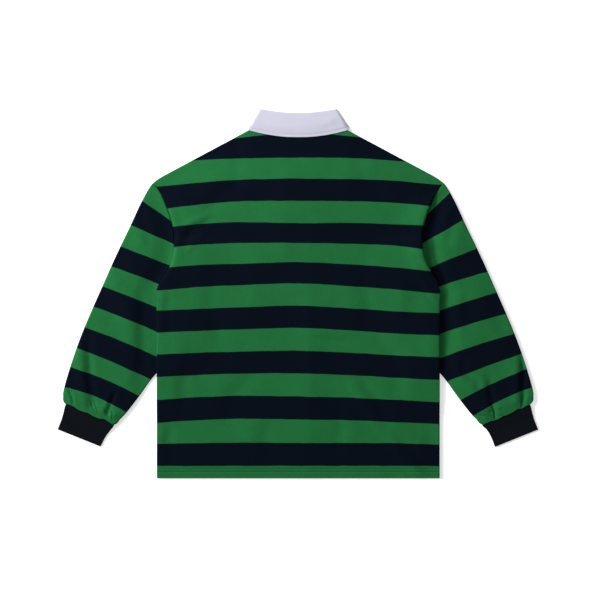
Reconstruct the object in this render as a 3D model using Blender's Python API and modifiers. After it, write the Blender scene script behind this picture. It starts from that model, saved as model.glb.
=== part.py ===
"""Long-sleeved striped polo shirt, laid out flat on a surface with its back up.

Lengths are in millimetres until a point is placed, which turns it into metres. Across is measured from the
centre line, along from the hem towards the collar, and up from the surface that the shirt lies on. The origin
is on that surface, under the middle of the shirt's length and width.
"""

import math
from collections import namedtuple

import bmesh
import bpy

MM = 0.001

# Cloth
CLOTH = 1.3
COLLAR_CLOTH = 1.3
BAND_CLOTH = 1.0
CUFF_CLOTH = 1.3
SEAM_GAP = 0.3
TURNING_GAP = 0.9
LAYER_AIR = 1.1

# Body
HALF_WIDTH = 290.0
SHIRT_LENGTH = 755.4
ARMPIT = 385.0
HEM_DEPTH = 20.0
HEM_TURN = 1.0
SHOULDER_TIP = (297.5, 606.0)
SHOULDER_SLOPE = 0.5345
SHOULDER_LINE = (286.4, 614.9)
SHOULDER_ROUND_FROM = 275.0
SHOULDER_ROUND_DROP = 3.2
NECK_HALF_WIDTH = 74.0
BACK_NECK_DROP = 14.4
FRONT_NECK_DROP = 83.4

# Placket and buttons
PLACKET_LENGTH = 150.0
SLIT_HALF_WIDTH = 16.0
BAND_SIDE_GAP = 0.5
BAND_ROWS = 10
BUTTON_RADIUS = 6.0
BUTTON_THICKNESS = 1.9
BUTTON_RIM = 0.35
BUTTON_HOLE_RADIUS = 0.8
BUTTON_HOLE_OFFSET = 1.5
BUTTON_HEIGHTS = {"button_top": 622.0, "button_middle": 571.0, "button_bottom": 520.0}

# Heights of the layers above the surface
SLEEVE_HEAD = 3.8
SLEEVE_FULL = 6.4
PUFF_HEIGHT = 0.3
GATHER_DEPTH = 1.7
SCALLOP = 3.0
FRONT_OVER_SLEEVE = 4.15
FRONT_OVER_COLLAR = 1.6
FRONT_OVER_BUTTONS = 2.7
SIDE_RISE = 3.2
ARMHOLE_RISE = 2.5
BACK_OVER_SLEEVE = 6.5

# Collar
COLLAR_MIDDLE = 3.4

# Cuff
CUFF_HEIGHT = 3.3
CUFF_RIBS = 30
RIB_DEPTH = 0.5
CUFF_LIFT = 1.65

EdgeRow = namedtuple("EdgeRow", "height half_width")
RimRow = namedtuple("RimRow", "flat_inset inset rise")
SleeveRow = namedtuple("SleeveRow", "outer_x outer_y inner_x inner_y to_cuff")
GatherRow = namedtuple("GatherRow", "at_cuff at_top length width depth")
CuffRow = namedtuple("CuffRow", "along half_width")
FoldRow = namedtuple("FoldRow", "from_x from_y to_x to_y width rise")
CollarRow = namedtuple("CollarRow", "seam fold_x fold_y edge_x edge_y turn")
LeafRow = namedtuple("LeafRow", "leaf share from_fold radius")

# Armhole, from the armpit up to the shoulder tip
ARMHOLE = [
    EdgeRow(385.0, 290.0),
    EdgeRow(403.0, 283.0),
    EdgeRow(437.0, 262.5),
    EdgeRow(482.0, 254.2),
    EdgeRow(524.0, 259.0),
    EdgeRow(577.5, 278.5),
    EdgeRow(594.0, 288.0),
    EdgeRow(606.0, 297.5),
]

# Innermost reach of the sleeve, where it lies beneath the body, and its run out past the side seam
HIDDEN_EDGE = [
    EdgeRow(120.0, 350.0),
    EdgeRow(170.0, 313.0),
    EdgeRow(215.0, 289.5),
    EdgeRow(240.0, 270.0),
    EdgeRow(272.0, 258.0),
    EdgeRow(303.0, 250.0),
    EdgeRow(350.0, 240.0),
    EdgeRow(417.0, 228.0),
    EdgeRow(482.0, 228.0),
]

# Hidden end of the sleeve head, from the innermost point of the armhole in under the body
HEAD_END = [(252.6, 462.0), (247.5, 443.0), (239.0, 427.0), (228.0, 417.0)]
HEAD_HEIGHTS = [606.0, 592.0, 577.5, 555.0, 528.0, 503.0, 482.0]

# How a folded rim turns down to its seam, from the seam inwards, as shares of the turn's radius
RIM = [
    RimRow(0.0, 0.0, 0.0),
    RimRow(0.8, 0.0, 0.3),
    RimRow(1.8, 0.28, 0.74),
    RimRow(3.2, 1.0, 1.0),
]

# Where the columns of a panel meet its top edge, across from the centre line
BACK_COLUMNS = [20.0, 40.0, 58.0, 74.0, 112.0, 160.0, 205.0, 240.0, 270.0]
FRONT_COLUMNS = [16.0, 30.0, 45.0, 60.0, 68.0, 74.0, 112.0, 160.0, 205.0, 240.0, 270.0]

# Heights of a panel's rows at its side
SIDE_ROWS = [0.0, 20.0, 24.0, 72.0, 124.0, 176.0, 212.0, 246.0, 290.0, 325.0, 347.0, 368.0, 385.0]
ARMHOLE_ROWS = [403.0, 431.0, 460.0, 482.0, 503.0, 528.0, 555.0, 577.5, 592.0]

# Sleeve sections from the shoulder to the cuff. The first row only sets the way that the shoulder leads
SLEEVE = [
    SleeveRow(270.0, 622.0, 219.0, 441.0, 590.0),
    SleeveRow(297.9, 605.7, 228.0, 417.0, 545.0),
    SleeveRow(320.4, 568.9, 236.0, 393.0, 500.0),
    SleeveRow(343.6, 519.1, 242.0, 370.0, 455.0),
    SleeveRow(364.7, 475.5, 247.0, 347.0, 410.0),
    SleeveRow(383.8, 434.3, 251.0, 325.0, 365.0),
    SleeveRow(401.8, 393.5, 255.0, 303.0, 318.0),
    SleeveRow(420.0, 352.3, 258.5, 271.5, 270.0),
    SleeveRow(438.1, 310.1, 270.5, 239.0, 222.0),
    SleeveRow(454.5, 267.2, 300.8, 203.5, 168.0),
    SleeveRow(468.6, 225.2, 324.4, 170.5, 115.0),
    SleeveRow(480.1, 185.3, 350.0, 137.1, 58.0),
    SleeveRow(482.2, 168.0, 364.5, 121.5, 18.0),
    SleeveRow(477.2, 151.5, 379.7, 109.4, 0.0),
]
STRAIGHT_FROM = 5
LAST_STEP = 12
SLEEVE_STEPS = [0, 0.3, 1, 2, 3, 4, 5, 6, 7, 8, 9, 9.6, 10.2, 10.7, 11.2, 11.6, 12]

# Gathers at the cuffs, as shares of the sleeve's width from its outer fold
GATHERS = {
    "left": [
        GatherRow(0.17, 0.08, 32.0, 0.030, 0.75),
        GatherRow(0.49, 0.43, 70.0, 0.050, 1.0),
        GatherRow(0.80, 0.70, 42.0, 0.035, 0.85),
    ],
    "right": [
        GatherRow(0.20, 0.13, 62.0, 0.035, 1.0),
        GatherRow(0.55, 0.58, 26.0, 0.030, 0.6),
        GatherRow(0.73, 0.80, 44.0, 0.045, 1.0),
    ],
}

# Cuff, from its end inside the sleeve to its open end
CUFF = [
    CuffRow(-8.0, 50.3),
    CuffRow(3.0, 50.8),
    CuffRow(14.0, 49.2),
    CuffRow(30.0, 47.5),
    CuffRow(52.4, 47.3),
]
CUFF_TOP = (428.45, 130.45)
CUFF_BOTTOM = (447.45, 83.2)

# Soft folds in the back panel, with across positive to the right sleeve
BACK_FOLDS = [
    FoldRow(150.0, 170.0, 272.0, 22.0, 22.0, 1.6),
    FoldRow(246.0, 590.0, 210.0, 470.0, 18.0, 1.2),
    FoldRow(-252.0, 590.0, -200.0, 500.0, 20.0, 1.4),
    FoldRow(-236.0, 330.0, -262.0, 120.0, 20.0, 1.0),
    FoldRow(-60.0, 660.0, -90.0, 300.0, 45.0, 0.9),
    FoldRow(75.0, 650.0, 110.0, 330.0, 45.0, 0.9),
]

# Collar, from the centre back round the side of the neck to the centre front
COLLAR = [
    CollarRow(0.0, 0.0, 748.0, 0.0, 699.1, 0.0),
    CollarRow(20.0, 20.0, 748.5, 26.0, 699.8, 0.0),
    CollarRow(40.0, 42.0, 750.1, 55.0, 703.2, 0.0),
    CollarRow(58.0, 60.0, 752.3, 80.0, 708.6, 0.0),
    CollarRow(68.0, 70.5, 753.8, 92.0, 712.6, 0.0),
    CollarRow(72.0, 74.0, 754.2, 97.2, 716.0, 0.0),
    CollarRow(73.4, 75.0, 754.3, 98.6, 717.2, 0.25),
    CollarRow(73.6, 75.3, 754.3, 99.2, 717.8, 0.5),
    CollarRow(73.4, 75.0, 754.0, 98.6, 717.2, 0.75),
    CollarRow(73.2, 74.4, 753.4, 97.6, 715.6, 1.0),
    CollarRow(68.0, 68.0, 748.5, 95.5, 706.5, 1.0),
    CollarRow(60.0, 57.0, 738.5, 92.0, 692.0, 1.0),
    CollarRow(45.0, 42.0, 717.5, 85.0, 667.0, 1.0),
    CollarRow(30.0, 27.0, 695.0, 75.0, 642.0, 1.0),
    CollarRow(16.0, 14.0, 679.0, 62.0, 620.0, 1.0),
    CollarRow(0.6, 0.6, 672.0, 44.0, 604.6, 1.0),
]

# Section of the collar, up the stand, over the fold and down the fall
COLLAR_SECTION = [
    LeafRow("stand", 0.0, 0.0, 1.1),
    LeafRow("stand", 0.5, 0.0, 1.1),
    LeafRow("stand", 1.0, 2.4, 1.1),
    LeafRow("stand", 1.0, 0.85, 1.1),
    LeafRow("stand", 1.0, 0.22, 1.36),
    LeafRow("fall", 0.0, 0.0, 1.93),
    LeafRow("fall", 0.0, 0.22, 2.5),
    LeafRow("fall", 0.0, 0.85, 2.76),
    LeafRow("fall", 0.1, 0.0, 2.76),
    LeafRow("fall", 0.4, 0.0, 2.76),
    LeafRow("fall", 0.7, 0.0, 2.76),
    LeafRow("fall", 1.0, 0.0, 2.76),
]


def smooth_step(low, high, value):
    share = min(1.0, max(0.0, (value - low) / (high - low)))
    return share * share * (3.0 - 2.0 * share)


def mix(first, second, share):
    return first + (second - first) * share


def smooth_max(values, sharpness=8.0):
    return sum(value ** sharpness for value in values) ** (1.0 / sharpness)


def look_up(table, key, name, value):
    """Smooth value of one column of a table, whose column key rises from row to row."""
    keys = [getattr(row, key) for row in table]
    values = [getattr(row, name) for row in table]
    last = len(table) - 1
    if value <= keys[0]:
        return values[0]
    if value >= keys[last]:
        return values[last]
    i = max(n for n in range(last) if keys[n] <= value)

    def slope(n):
        low = max(0, n - 1)
        high = min(last, n + 1)
        return (values[high] - values[low]) / (keys[high] - keys[low])

    width = keys[i + 1] - keys[i]
    t = (value - keys[i]) / width
    return (
        (2 * t ** 3 - 3 * t ** 2 + 1) * values[i]
        + (t ** 3 - 2 * t ** 2 + t) * width * slope(i)
        + (3 * t ** 2 - 2 * t ** 3) * values[i + 1]
        + (t ** 3 - t ** 2) * width * slope(i + 1)
    )


def place(across, along, up):
    """A point in metres, from millimetres across, along and up."""
    return (across * MM, (along - SHIRT_LENGTH / 2) * MM, up * MM)


def shoulder_height(across):
    """Height along the shirt of the shoulder seam at a distance across."""
    line_x, line_y = SHOULDER_LINE
    past = max(0.0, abs(across) - SHOULDER_ROUND_FROM) / (SHOULDER_TIP[0] - SHOULDER_ROUND_FROM)
    return line_y + (line_x - abs(across)) * SHOULDER_SLOPE - SHOULDER_ROUND_DROP * past * past


def top_edge(across, panel):
    """Height along the shirt of a panel's top edge: its shoulder seam, or its neckline between them."""
    if abs(across) >= NECK_HALF_WIDTH:
        return shoulder_height(across)
    drop = BACK_NECK_DROP if panel == "back" else FRONT_NECK_DROP
    power = 2.0 if panel == "back" else 2.2
    neck_point = shoulder_height(NECK_HALF_WIDTH)
    return neck_point - drop * (1.0 - (abs(across) / NECK_HALF_WIDTH) ** power)


def edge_half_width(along):
    """Half width of the body at a height: its straight side, or its armhole above the armpit."""
    if along <= ARMPIT:
        return HALF_WIDTH
    return look_up(ARMHOLE, "height", "half_width", along)


def tucked_share(across, along):
    """How fully a place on the body lies on the part of the sleeve that is folded beneath it."""
    outside = look_up(HIDDEN_EDGE, "height", "half_width", along) - abs(across)
    return (1.0 - smooth_step(20.0, 62.0, outside)) * (1.0 - smooth_step(483.0, 502.0, along))


def box_share(across, along, half_width, low, high, ramp):
    """One inside a box about the centre line, fading to nothing over a ramp outside it."""
    away_x = max(0.0, abs(across) - half_width)
    away_y = max(0.0, low - along, along - high)
    return 1.0 - smooth_step(0.0, ramp, math.hypot(away_x, away_y))


def front_under(across, along):
    """Height of the front panel's underside, which is the shirt's outside there."""
    over_collar = FRONT_OVER_COLLAR * box_share(across, along, 100.0, 600.0, SHIRT_LENGTH, 36.0)
    over_buttons = FRONT_OVER_BUTTONS * box_share(across, along, 21.0, 490.0, 628.0, 20.0)
    over_sleeve = FRONT_OVER_SLEEVE * tucked_share(across, along)
    return smooth_max([over_collar, over_buttons, over_sleeve])


def fold_rise(folds, across, along):
    """Height that soft ridges add at a place."""
    rise = 0.0
    for row in folds:
        run_x = row.to_x - row.from_x
        run_y = row.to_y - row.from_y
        run = math.hypot(run_x, run_y)
        share = ((across - row.from_x) * run_x + (along - row.from_y) * run_y) / run ** 2
        away = ((across - row.from_x) * run_y - (along - row.from_y) * run_x) / run
        taper = smooth_step(-0.15, 0.3, share) * (1.0 - smooth_step(0.7, 1.15, share))
        rise += row.rise * taper * math.exp(-((away / row.width) ** 2))
    return rise


def back_top(across, along):
    """Height of the back panel's upper side, which is the shirt's outside."""
    hem = 2.0 * HEM_TURN * (1.0 - smooth_step(HEM_DEPTH + 4.0, HEM_DEPTH + 44.0, along))
    on_front = front_under(across, along) + CLOTH + LAYER_AIR + hem
    from_edge = edge_half_width(along) - abs(across)
    rise = mix(SIDE_RISE, ARMHOLE_RISE, smooth_step(ARMPIT, 500.0, along))
    beside_edge = rise * (1.0 - smooth_step(34.0, 78.0, from_edge))
    over_sleeve = BACK_OVER_SLEEVE * tucked_share(across, along)
    from_shoulder = shoulder_height(across) - along
    under_shoulder = ARMHOLE_RISE * (1.0 - smooth_step(5.0, 40.0, from_shoulder))
    folds = fold_rise(BACK_FOLDS, across, along) * smooth_step(8.0, 40.0, min(from_edge, from_shoulder))
    under = smooth_max([on_front, beside_edge, over_sleeve, under_shoulder], 16.0)
    return under + CLOTH + folds


def layers(across, along):
    """Heights of the body's outside below and above, and the gap between the two where they turn to meet."""
    by_armpit = smooth_step(290.0, 340.0, along) * (1.0 - smooth_step(560.0, 590.0, along))
    by_neck = smooth_step(600.0, 640.0, along) * (1.0 - smooth_step(114.0, 150.0, abs(across)))
    gap = mix(SEAM_GAP, TURNING_GAP, max(by_armpit, 0.5 * by_neck))
    return front_under(across, along), back_top(across, along), gap


def panel_rows():
    """Rows of a panel: the height at its side, how far it has the top edge's shape, and its top rim."""
    rows = [(height, 0.0, None) for height in SIDE_ROWS]
    run = SHOULDER_TIP[1] - ARMPIT
    rows += [(height, ((height - ARMPIT) / run) ** 1.4, None) for height in ARMHOLE_ROWS]
    return rows + [(SHOULDER_TIP[1], 1.0, rim) for rim in reversed(RIM)]


def rim_place(rim, radius, curl):
    """Inset from a rim's edge and share of the turn's height, for a rim that curls fully, partly or not."""
    return mix(rim.flat_inset, radius * rim.inset, curl), mix(1.0, rim.rise, curl)


def panel_place(panel, row, column, side):
    """A point on a panel's outer surface, in metres. A column is a distance across, or a row of the rim."""
    height, top_share, top_rim = row
    rim_column = isinstance(column, RimRow)
    tip = SHOULDER_TIP[0] if rim_column else column
    upper_rise = 1.0
    if top_rim:
        under, over, gap = layers(tip, shoulder_height(tip) - 3.0)
        curl = smooth_step(NECK_HALF_WIDTH + 2.0, NECK_HALF_WIDTH + 36.0, tip)
        inset, upper_rise = rim_place(top_rim, (over - under - gap) / 2, curl)
        height -= inset / math.cos(math.atan(SHOULDER_SLOPE))
    half_width = edge_half_width(height)
    side_rise = 1.0
    if rim_column:
        under, over, gap = layers(half_width - 2.0, height)
        curl = 1.0 - smooth_step(335.0, 391.0, height)
        inset, side_rise = rim_place(column, (over - under - gap) / 2, curl)
        across = half_width - inset
        tip -= inset
    else:
        first = SLIT_HALF_WIDTH if panel == "front" else 0.0
        across = first + (column - first) * (half_width - first) / (SHOULDER_TIP[0] - first)
    along = height + (top_edge(tip, panel) - SHOULDER_TIP[1]) * top_share
    under, over, gap = layers(across, along)
    middle = (under + over) / 2
    rise = gap / 2 + (over - middle - gap / 2) * min(side_rise, upper_rise)
    return place(side * across, along, middle + rise if panel == "back" else middle - rise)


def panel_line(panel, row, columns):
    """One row of points from rim to rim."""
    line = [panel_place(panel, row, rim, -1.0) for rim in RIM]
    line += [panel_place(panel, row, column, -1.0) for column in reversed(columns)]
    if panel == "back":
        line.append(panel_place(panel, row, 0.0, 1.0))
    line += [panel_place(panel, row, column, 1.0) for column in columns]
    return line + [panel_place(panel, row, rim, 1.0) for rim in reversed(RIM)]


def new_material(name, colour, roughness):
    material = bpy.data.materials.new(name)
    material.use_nodes = True
    shader = material.node_tree.nodes["Principled BSDF"]
    shader.inputs["Base Color"].default_value = (*colour, 1.0)
    shader.inputs["Roughness"].default_value = roughness
    shader.inputs["Metallic"].default_value = 0.0
    material.diffuse_color = (*colour, 1.0)
    return material


def add_object(name, mesh, material, collection):
    mesh.materials.append(material)
    made = bpy.data.objects.new(name, mesh)
    collection.objects.link(made)
    return made


def sheet_mesh(name, grid, skip=None, flip=False, ring=False):
    """An open sheet of triangles from rows of points. A ring joins each row's end to its start."""
    mesh = bpy.data.meshes.new(name)
    work = bmesh.new()
    rows = [[work.verts.new(point) for point in row] for row in grid]
    columns = len(rows[0])
    for i in range(len(rows) - 1):
        for j in range(columns if ring else columns - 1):
            if skip and skip(i, j):
                continue
            k = (j + 1) % columns
            near, beside, far, above = rows[i][j], rows[i][k], rows[i + 1][k], rows[i + 1][j]
            for corners in ((near, beside, far), (near, far, above)):
                work.faces.new(corners[::-1] if flip else corners)
    loose = [vert for vert in work.verts if not vert.link_faces]
    bmesh.ops.delete(work, geom=loose, context="VERTS")
    work.to_mesh(mesh)
    work.free()
    mesh.shade_smooth()
    return mesh


def thicken(made, thickness, offset=-1.0):
    wall = made.modifiers.new("cloth", "SOLIDIFY")
    wall.thickness = thickness * MM
    wall.offset = offset
    wall.use_rim = True
    return wall


def thicken_panel(made):
    """Gives a panel its cloth, with the turned hem as a thicker band."""
    group = made.vertex_groups.new(name="hem")
    for vert in made.data.vertices:
        along = vert.co.y / MM + SHIRT_LENGTH / 2
        share = 1.0 - smooth_step(HEM_DEPTH, HEM_DEPTH + 3.9, along)
        group.add([vert.index], share, "REPLACE")
    wall = thicken(made, CLOTH + HEM_TURN)
    wall.vertex_group = "hem"
    wall.thickness_vertex_group = CLOTH / (CLOTH + HEM_TURN)


def make_back(material, collection):
    grid = [panel_line("back", row, BACK_COLUMNS) for row in panel_rows()]
    back = add_object("back", sheet_mesh("back", grid), material, collection)
    thicken_panel(back)
    return back


def slit_height(row):
    """Where a row of the front panel meets the edge of the placket slit."""
    height, top_share, _ = row
    return height + (top_edge(SLIT_HALF_WIDTH, "front") - SHOULDER_TIP[1]) * top_share


def slit_start():
    """The row of the front panel at the slit's lower end, which is the row nearest to the placket's length."""
    rows = panel_rows()
    wanted = top_edge(SLIT_HALF_WIDTH, "front") - PLACKET_LENGTH
    return min(range(len(rows)), key=lambda n: abs(slit_height(rows[n]) - wanted))


def make_front(material, collection):
    grid = [panel_line("front", row, FRONT_COLUMNS) for row in panel_rows()]
    slit_column = len(RIM) + len(FRONT_COLUMNS) - 1
    slit_row = slit_start()

    def skip(i, j):
        return j == slit_column and i >= slit_row

    front = add_object("front", sheet_mesh("front", grid, skip, flip=True), material, collection)
    thicken_panel(front)
    return front


def sleeve_edges(step):
    """Outer and inner fold of the sleeve at a step between its sections, and how far the cuff is."""
    low = min(int(step), LAST_STEP - 1)
    t = step - low
    before, start, end = SLEEVE[low:low + 3]
    after = SLEEVE[min(low + 3, LAST_STEP + 1)]
    values = []
    for name in SleeveRow._fields:
        leave = (getattr(end, name) - getattr(before, name)) / 2
        arrive = (getattr(after, name) - getattr(start, name)) / 2
        values.append(
            (2 * t ** 3 - 3 * t ** 2 + 1) * getattr(start, name)
            + (t ** 3 - 2 * t ** 2 + t) * leave
            + (3 * t ** 2 - 2 * t ** 3) * getattr(end, name)
            + (t ** 3 - t ** 2) * arrive
        )
    return tuple(values[:2]), tuple(values[2:4]), values[4]


def head_path():
    """Points of the sleeve head beside the armhole, from the shoulder tip to the hidden fold."""
    path = []
    for height in HEAD_HEIGHTS:
        edge = edge_half_width(height)
        slope = (edge - edge_half_width(height - 2.0)) / 2.0
        gap = 1.5 * SEAM_GAP / math.hypot(1.0, slope)
        path.append((edge + gap, height - gap * slope))
    return path + HEAD_END


def path_shares(path):
    lengths = [0.0]
    for first, second in zip(path, path[1:]):
        lengths.append(lengths[-1] + math.dist(first, second))
    return [length / lengths[-1] for length in lengths]


def along_path(path, share):
    shares = path_shares(path)
    for n in range(len(path) - 1):
        if share <= shares[n + 1] or n == len(path) - 2:
            part = (share - shares[n]) / (shares[n + 1] - shares[n])
            return tuple(mix(a, b, part) for a, b in zip(path[n], path[n + 1]))


def sleeve_plan(step, share):
    """Where a point of a sleeve section lies across and along: on a straight line, or bowed near the head."""
    outer, inner, _ = sleeve_edges(step)
    straight = tuple(mix(a, b, share) for a, b in zip(outer, inner))
    bow = max(0.0, 1.0 - step / STRAIGHT_FROM)
    path = head_path()
    head = along_path(path, share)
    return tuple(straight[n] + bow * (head[n] - mix(path[0][n], path[-1][n], share)) for n in range(2))


def gather_share(side, share, to_cuff):
    """How high the cloth puffs between its gathers, from 0 in a gather to 1."""
    puff = 1.0
    for row in GATHERS[side]:
        run = min(1.0, to_cuff / row.length)
        centre = mix(row.at_cuff, row.at_top, run)
        width = row.width * (1.0 + run)
        puff -= row.depth * (1.0 - run ** 2) * math.exp(-(((share - centre) / width) ** 2))
    return max(0.0, puff)


def sleeve_top(side, across, along, share, to_cuff):
    """Height of the sleeve's upper side."""
    past_body = abs(across) - edge_half_width(along)
    past_tip = smooth_step(SHOULDER_TIP[1] - 40.0, SHOULDER_TIP[1], along)
    height = mix(SLEEVE_HEAD, SLEEVE_FULL, smooth_step(12.0, 48.0, past_body) * (1.0 - past_tip))
    near = 1.0 - smooth_step(15.0, 70.0, to_cuff)
    depth = GATHER_DEPTH * (0.1 + 0.9 * smooth_step(8.0, 22.0, to_cuff))
    valley = depth * (1.0 - gather_share(side, share, to_cuff))
    return height + PUFF_HEIGHT * near - valley


def sleeve_ring(side, step, upper_shares, lower_shares):
    """One closed section of a sleeve: over the top from the outer fold to the inner one, and back below."""
    to_cuff = sleeve_edges(step)[2]
    sign = -1.0 if side == "left" else 1.0
    axis_x = CUFF_BOTTOM[0] - CUFF_TOP[0]
    axis_y = CUFF_BOTTOM[1] - CUFF_TOP[1]
    axis = math.hypot(axis_x, axis_y)

    def turn_at(far_share):
        """Shares and rises of the turn at a fold, square to the fold however the section meets it."""
        across, along = sleeve_plan(step, far_share)
        radius = sleeve_top(side, across, along, far_share, to_cuff) / 2
        inside = sleeve_plan(step, abs(far_share - 0.03))
        earlier = sleeve_plan(max(0.0, step - 0.1), far_share)
        later = sleeve_plan(min(LAST_STEP, step + 0.1), far_share)
        way_in = (inside[0] - across, inside[1] - along)
        way_on = (later[0] - earlier[0], later[1] - earlier[1])
        turned_by = abs(way_in[0] * way_on[1] - way_in[1] * way_on[0])
        squareness = turned_by / math.hypot(*way_in) / math.hypot(*way_on)
        width = math.hypot(*way_in) / 0.03
        return [(rim.inset * radius / width / squareness, rim.rise) for rim in RIM]

    outer_turn = turn_at(0.0)
    inner_turn = turn_at(1.0)
    stations = [("upper", inset, rise) for inset, rise in outer_turn]
    stations += [("upper", share, 1.0) for share in upper_shares]
    stations += [("upper", 1.0 - inset, rise) for inset, rise in reversed(inner_turn)]
    stations += [("lower", 1.0 - inset, rise) for inset, rise in inner_turn[1:]]
    stations += [("lower", share, 1.0) for share in reversed(lower_shares)]
    stations += [("lower", inset, rise) for inset, rise in reversed(outer_turn[1:])]
    ring = []
    for layer, share, rise in stations:
        across, along = sleeve_plan(step, share)
        top = sleeve_top(side, across, along, share, to_cuff)
        if layer == "upper":
            ends = smooth_step(0.0, 0.1, share) * smooth_step(0.0, 0.1, 1.0 - share)
            end = SCALLOP * ends * gather_share(side, share, 0.0) * (1.0 - smooth_step(0.0, 12.0, to_cuff))
            across += end * axis_x / axis
            along += end * axis_y / axis
        direction = 1.0 if layer == "upper" else -1.0
        ring.append(place(sign * across, along, top / 2 + direction * rise * top / 2))
    return ring


def make_sleeve(side, material, collection):
    lower = [share for share in path_shares(head_path()) if 0.0 < share < 1.0]
    doubled = [mix(a, b, 0.5) for a, b in zip(lower, lower[1:])]
    upper = sorted(lower + doubled)
    grid = [sleeve_ring(side, step, upper, lower) for step in SLEEVE_STEPS]
    mesh = sheet_mesh("sleeve_" + side, grid, flip=side == "left", ring=True)
    sleeve = add_object("sleeve_" + side, mesh, material, collection)
    thicken(sleeve, CLOTH)
    return sleeve


def flat_tube(half_width, height):
    """Points round a flattened tube with their outward directions: two flat runs of ribs and two turns."""
    radius = height / 2
    half_run = half_width - radius
    stations = []
    for start in (90.0, -90.0):
        facing = math.copysign(1.0, start)
        for n in range(CUFF_RIBS + 1):
            stations.append((facing * mix(-half_run, half_run, n / CUFF_RIBS), facing * radius, start))
        for turn in (45.0, 0.0, -45.0):
            angle = math.radians(turn if facing > 0 else 180.0 + turn)
            wide = facing * half_run + radius * math.cos(angle)
            stations.append((wide, radius * math.sin(angle), math.degrees(angle)))
    return stations


def cuff_ring(side, row, inside):
    """One section of a cuff. Outside it has ribs, and inside it is plain."""
    sign = -1.0 if side == "left" else 1.0
    axis_x = (CUFF_BOTTOM[0] - CUFF_TOP[0]) / math.dist(CUFF_TOP, CUFF_BOTTOM)
    axis_y = (CUFF_BOTTOM[1] - CUFF_TOP[1]) / math.dist(CUFF_TOP, CUFF_BOTTOM)
    lift = CUFF_LIFT * (1.0 - smooth_step(4.0, 28.0, row.along))
    ring = []
    for n, (wide, up, angle) in enumerate(flat_tube(row.half_width, CUFF_HEIGHT)):
        depth = CUFF_CLOTH if inside else RIB_DEPTH * (n % 2)
        wide -= depth * math.cos(math.radians(angle))
        up -= depth * math.sin(math.radians(angle))
        across = CUFF_TOP[0] + axis_x * row.along + axis_y * wide
        along = CUFF_TOP[1] + axis_y * row.along - axis_x * wide
        ring.append(place(sign * across, along, CUFF_HEIGHT / 2 + up + lift))
    return ring


def make_cuff(side, material, collection):
    """A cuff as one closed wall: ribbed outside, plain inside, joined at both ends."""
    outer = [cuff_ring(side, row, False) for row in CUFF]
    inner = [cuff_ring(side, row, True) for row in CUFF]
    loop = outer + inner[::-1] + [outer[0]]
    mesh = sheet_mesh("cuff_" + side, loop[:-1] + [outer[0]], flip=side == "left", ring=True)
    work = bmesh.new()
    work.from_mesh(mesh)
    bmesh.ops.remove_doubles(work, verts=work.verts, dist=0.001 * MM)
    work.to_mesh(mesh)
    work.free()
    return add_object("cuff_" + side, mesh, material, collection)


def collar_section_line(row, side):
    """Points up the stand, over the fold and down the fall, at one place round the neck."""
    angle = math.pi * row.turn
    panel = "back" if row.turn < 0.5 else "front"
    slope = (top_edge(row.seam, panel) - top_edge(max(0.0, row.seam - 1.0), panel)) / 1.0
    gap = SEAM_GAP * (1.0 + row.turn) * math.hypot(1.0, slope)
    seam = (row.seam, top_edge(row.seam, panel) + gap + 1.2 * math.sin(angle))
    fold = (row.fold_x, row.fold_y)
    edge = (row.edge_x, row.edge_y)
    fall = math.dist(fold, edge)
    line = []
    for leaf in COLLAR_SECTION:
        low, high = (seam, fold) if leaf.leaf == "stand" else (fold, edge)
        run = math.dist(low, high)
        away = -leaf.from_fold if leaf.leaf == "stand" else leaf.from_fold
        share = leaf.share + away / run
        across = mix(low[0], high[0], share)
        along = mix(low[1], high[1], share)
        across += leaf.radius * math.sin(angle) * (fold[1] - edge[1]) / fall
        along += leaf.radius * math.sin(angle) * (edge[0] - fold[0]) / fall
        line.append(place(side * across, along, COLLAR_MIDDLE + leaf.radius * math.cos(angle)))
    return line


def make_collar(material, collection):
    left = [collar_section_line(row, -1.0) for row in reversed(COLLAR)]
    right = [collar_section_line(row, 1.0) for row in COLLAR[1:]]
    collar = add_object("collar", sheet_mesh("collar", left + right), material, collection)
    thicken(collar, COLLAR_CLOTH, offset=0.0)
    return collar


def make_band(name, low, material, collection):
    """One band of the placket, following the front panel's surface at a set height above its underside."""
    top = top_edge(0.0, "front") - 1.0
    bottom = slit_height(panel_rows()[slit_start()]) + BAND_SIDE_GAP
    half = SLIT_HALF_WIDTH - BAND_SIDE_GAP
    grid = []
    for n in range(BAND_ROWS + 1):
        along = mix(bottom, top, n / BAND_ROWS)
        grid.append([place(x, along, front_under(0.0, along) + low) for x in (-half, 0.0, half)])
    band = add_object(name, sheet_mesh(name, grid), material, collection)
    thicken(band, BAND_CLOTH, offset=1.0)
    return band


def turned(name, profile, segments, material, collection):
    """A solid turned about a vertical axis from a profile that runs down its outer side."""
    mesh = bpy.data.meshes.new(name)
    points = [(radius * MM, 0.0, up * MM) for radius, up in profile]
    mesh.from_pydata(points, [(n, n + 1) for n in range(len(points) - 1)], [])
    made = add_object(name, mesh, material, collection)
    spin = made.modifiers.new("turn", "SCREW")
    spin.steps = segments
    spin.render_steps = segments
    spin.use_merge_vertices = True
    spin.merge_threshold = 0.00001
    spin.use_smooth_shade = True
    return made


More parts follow.
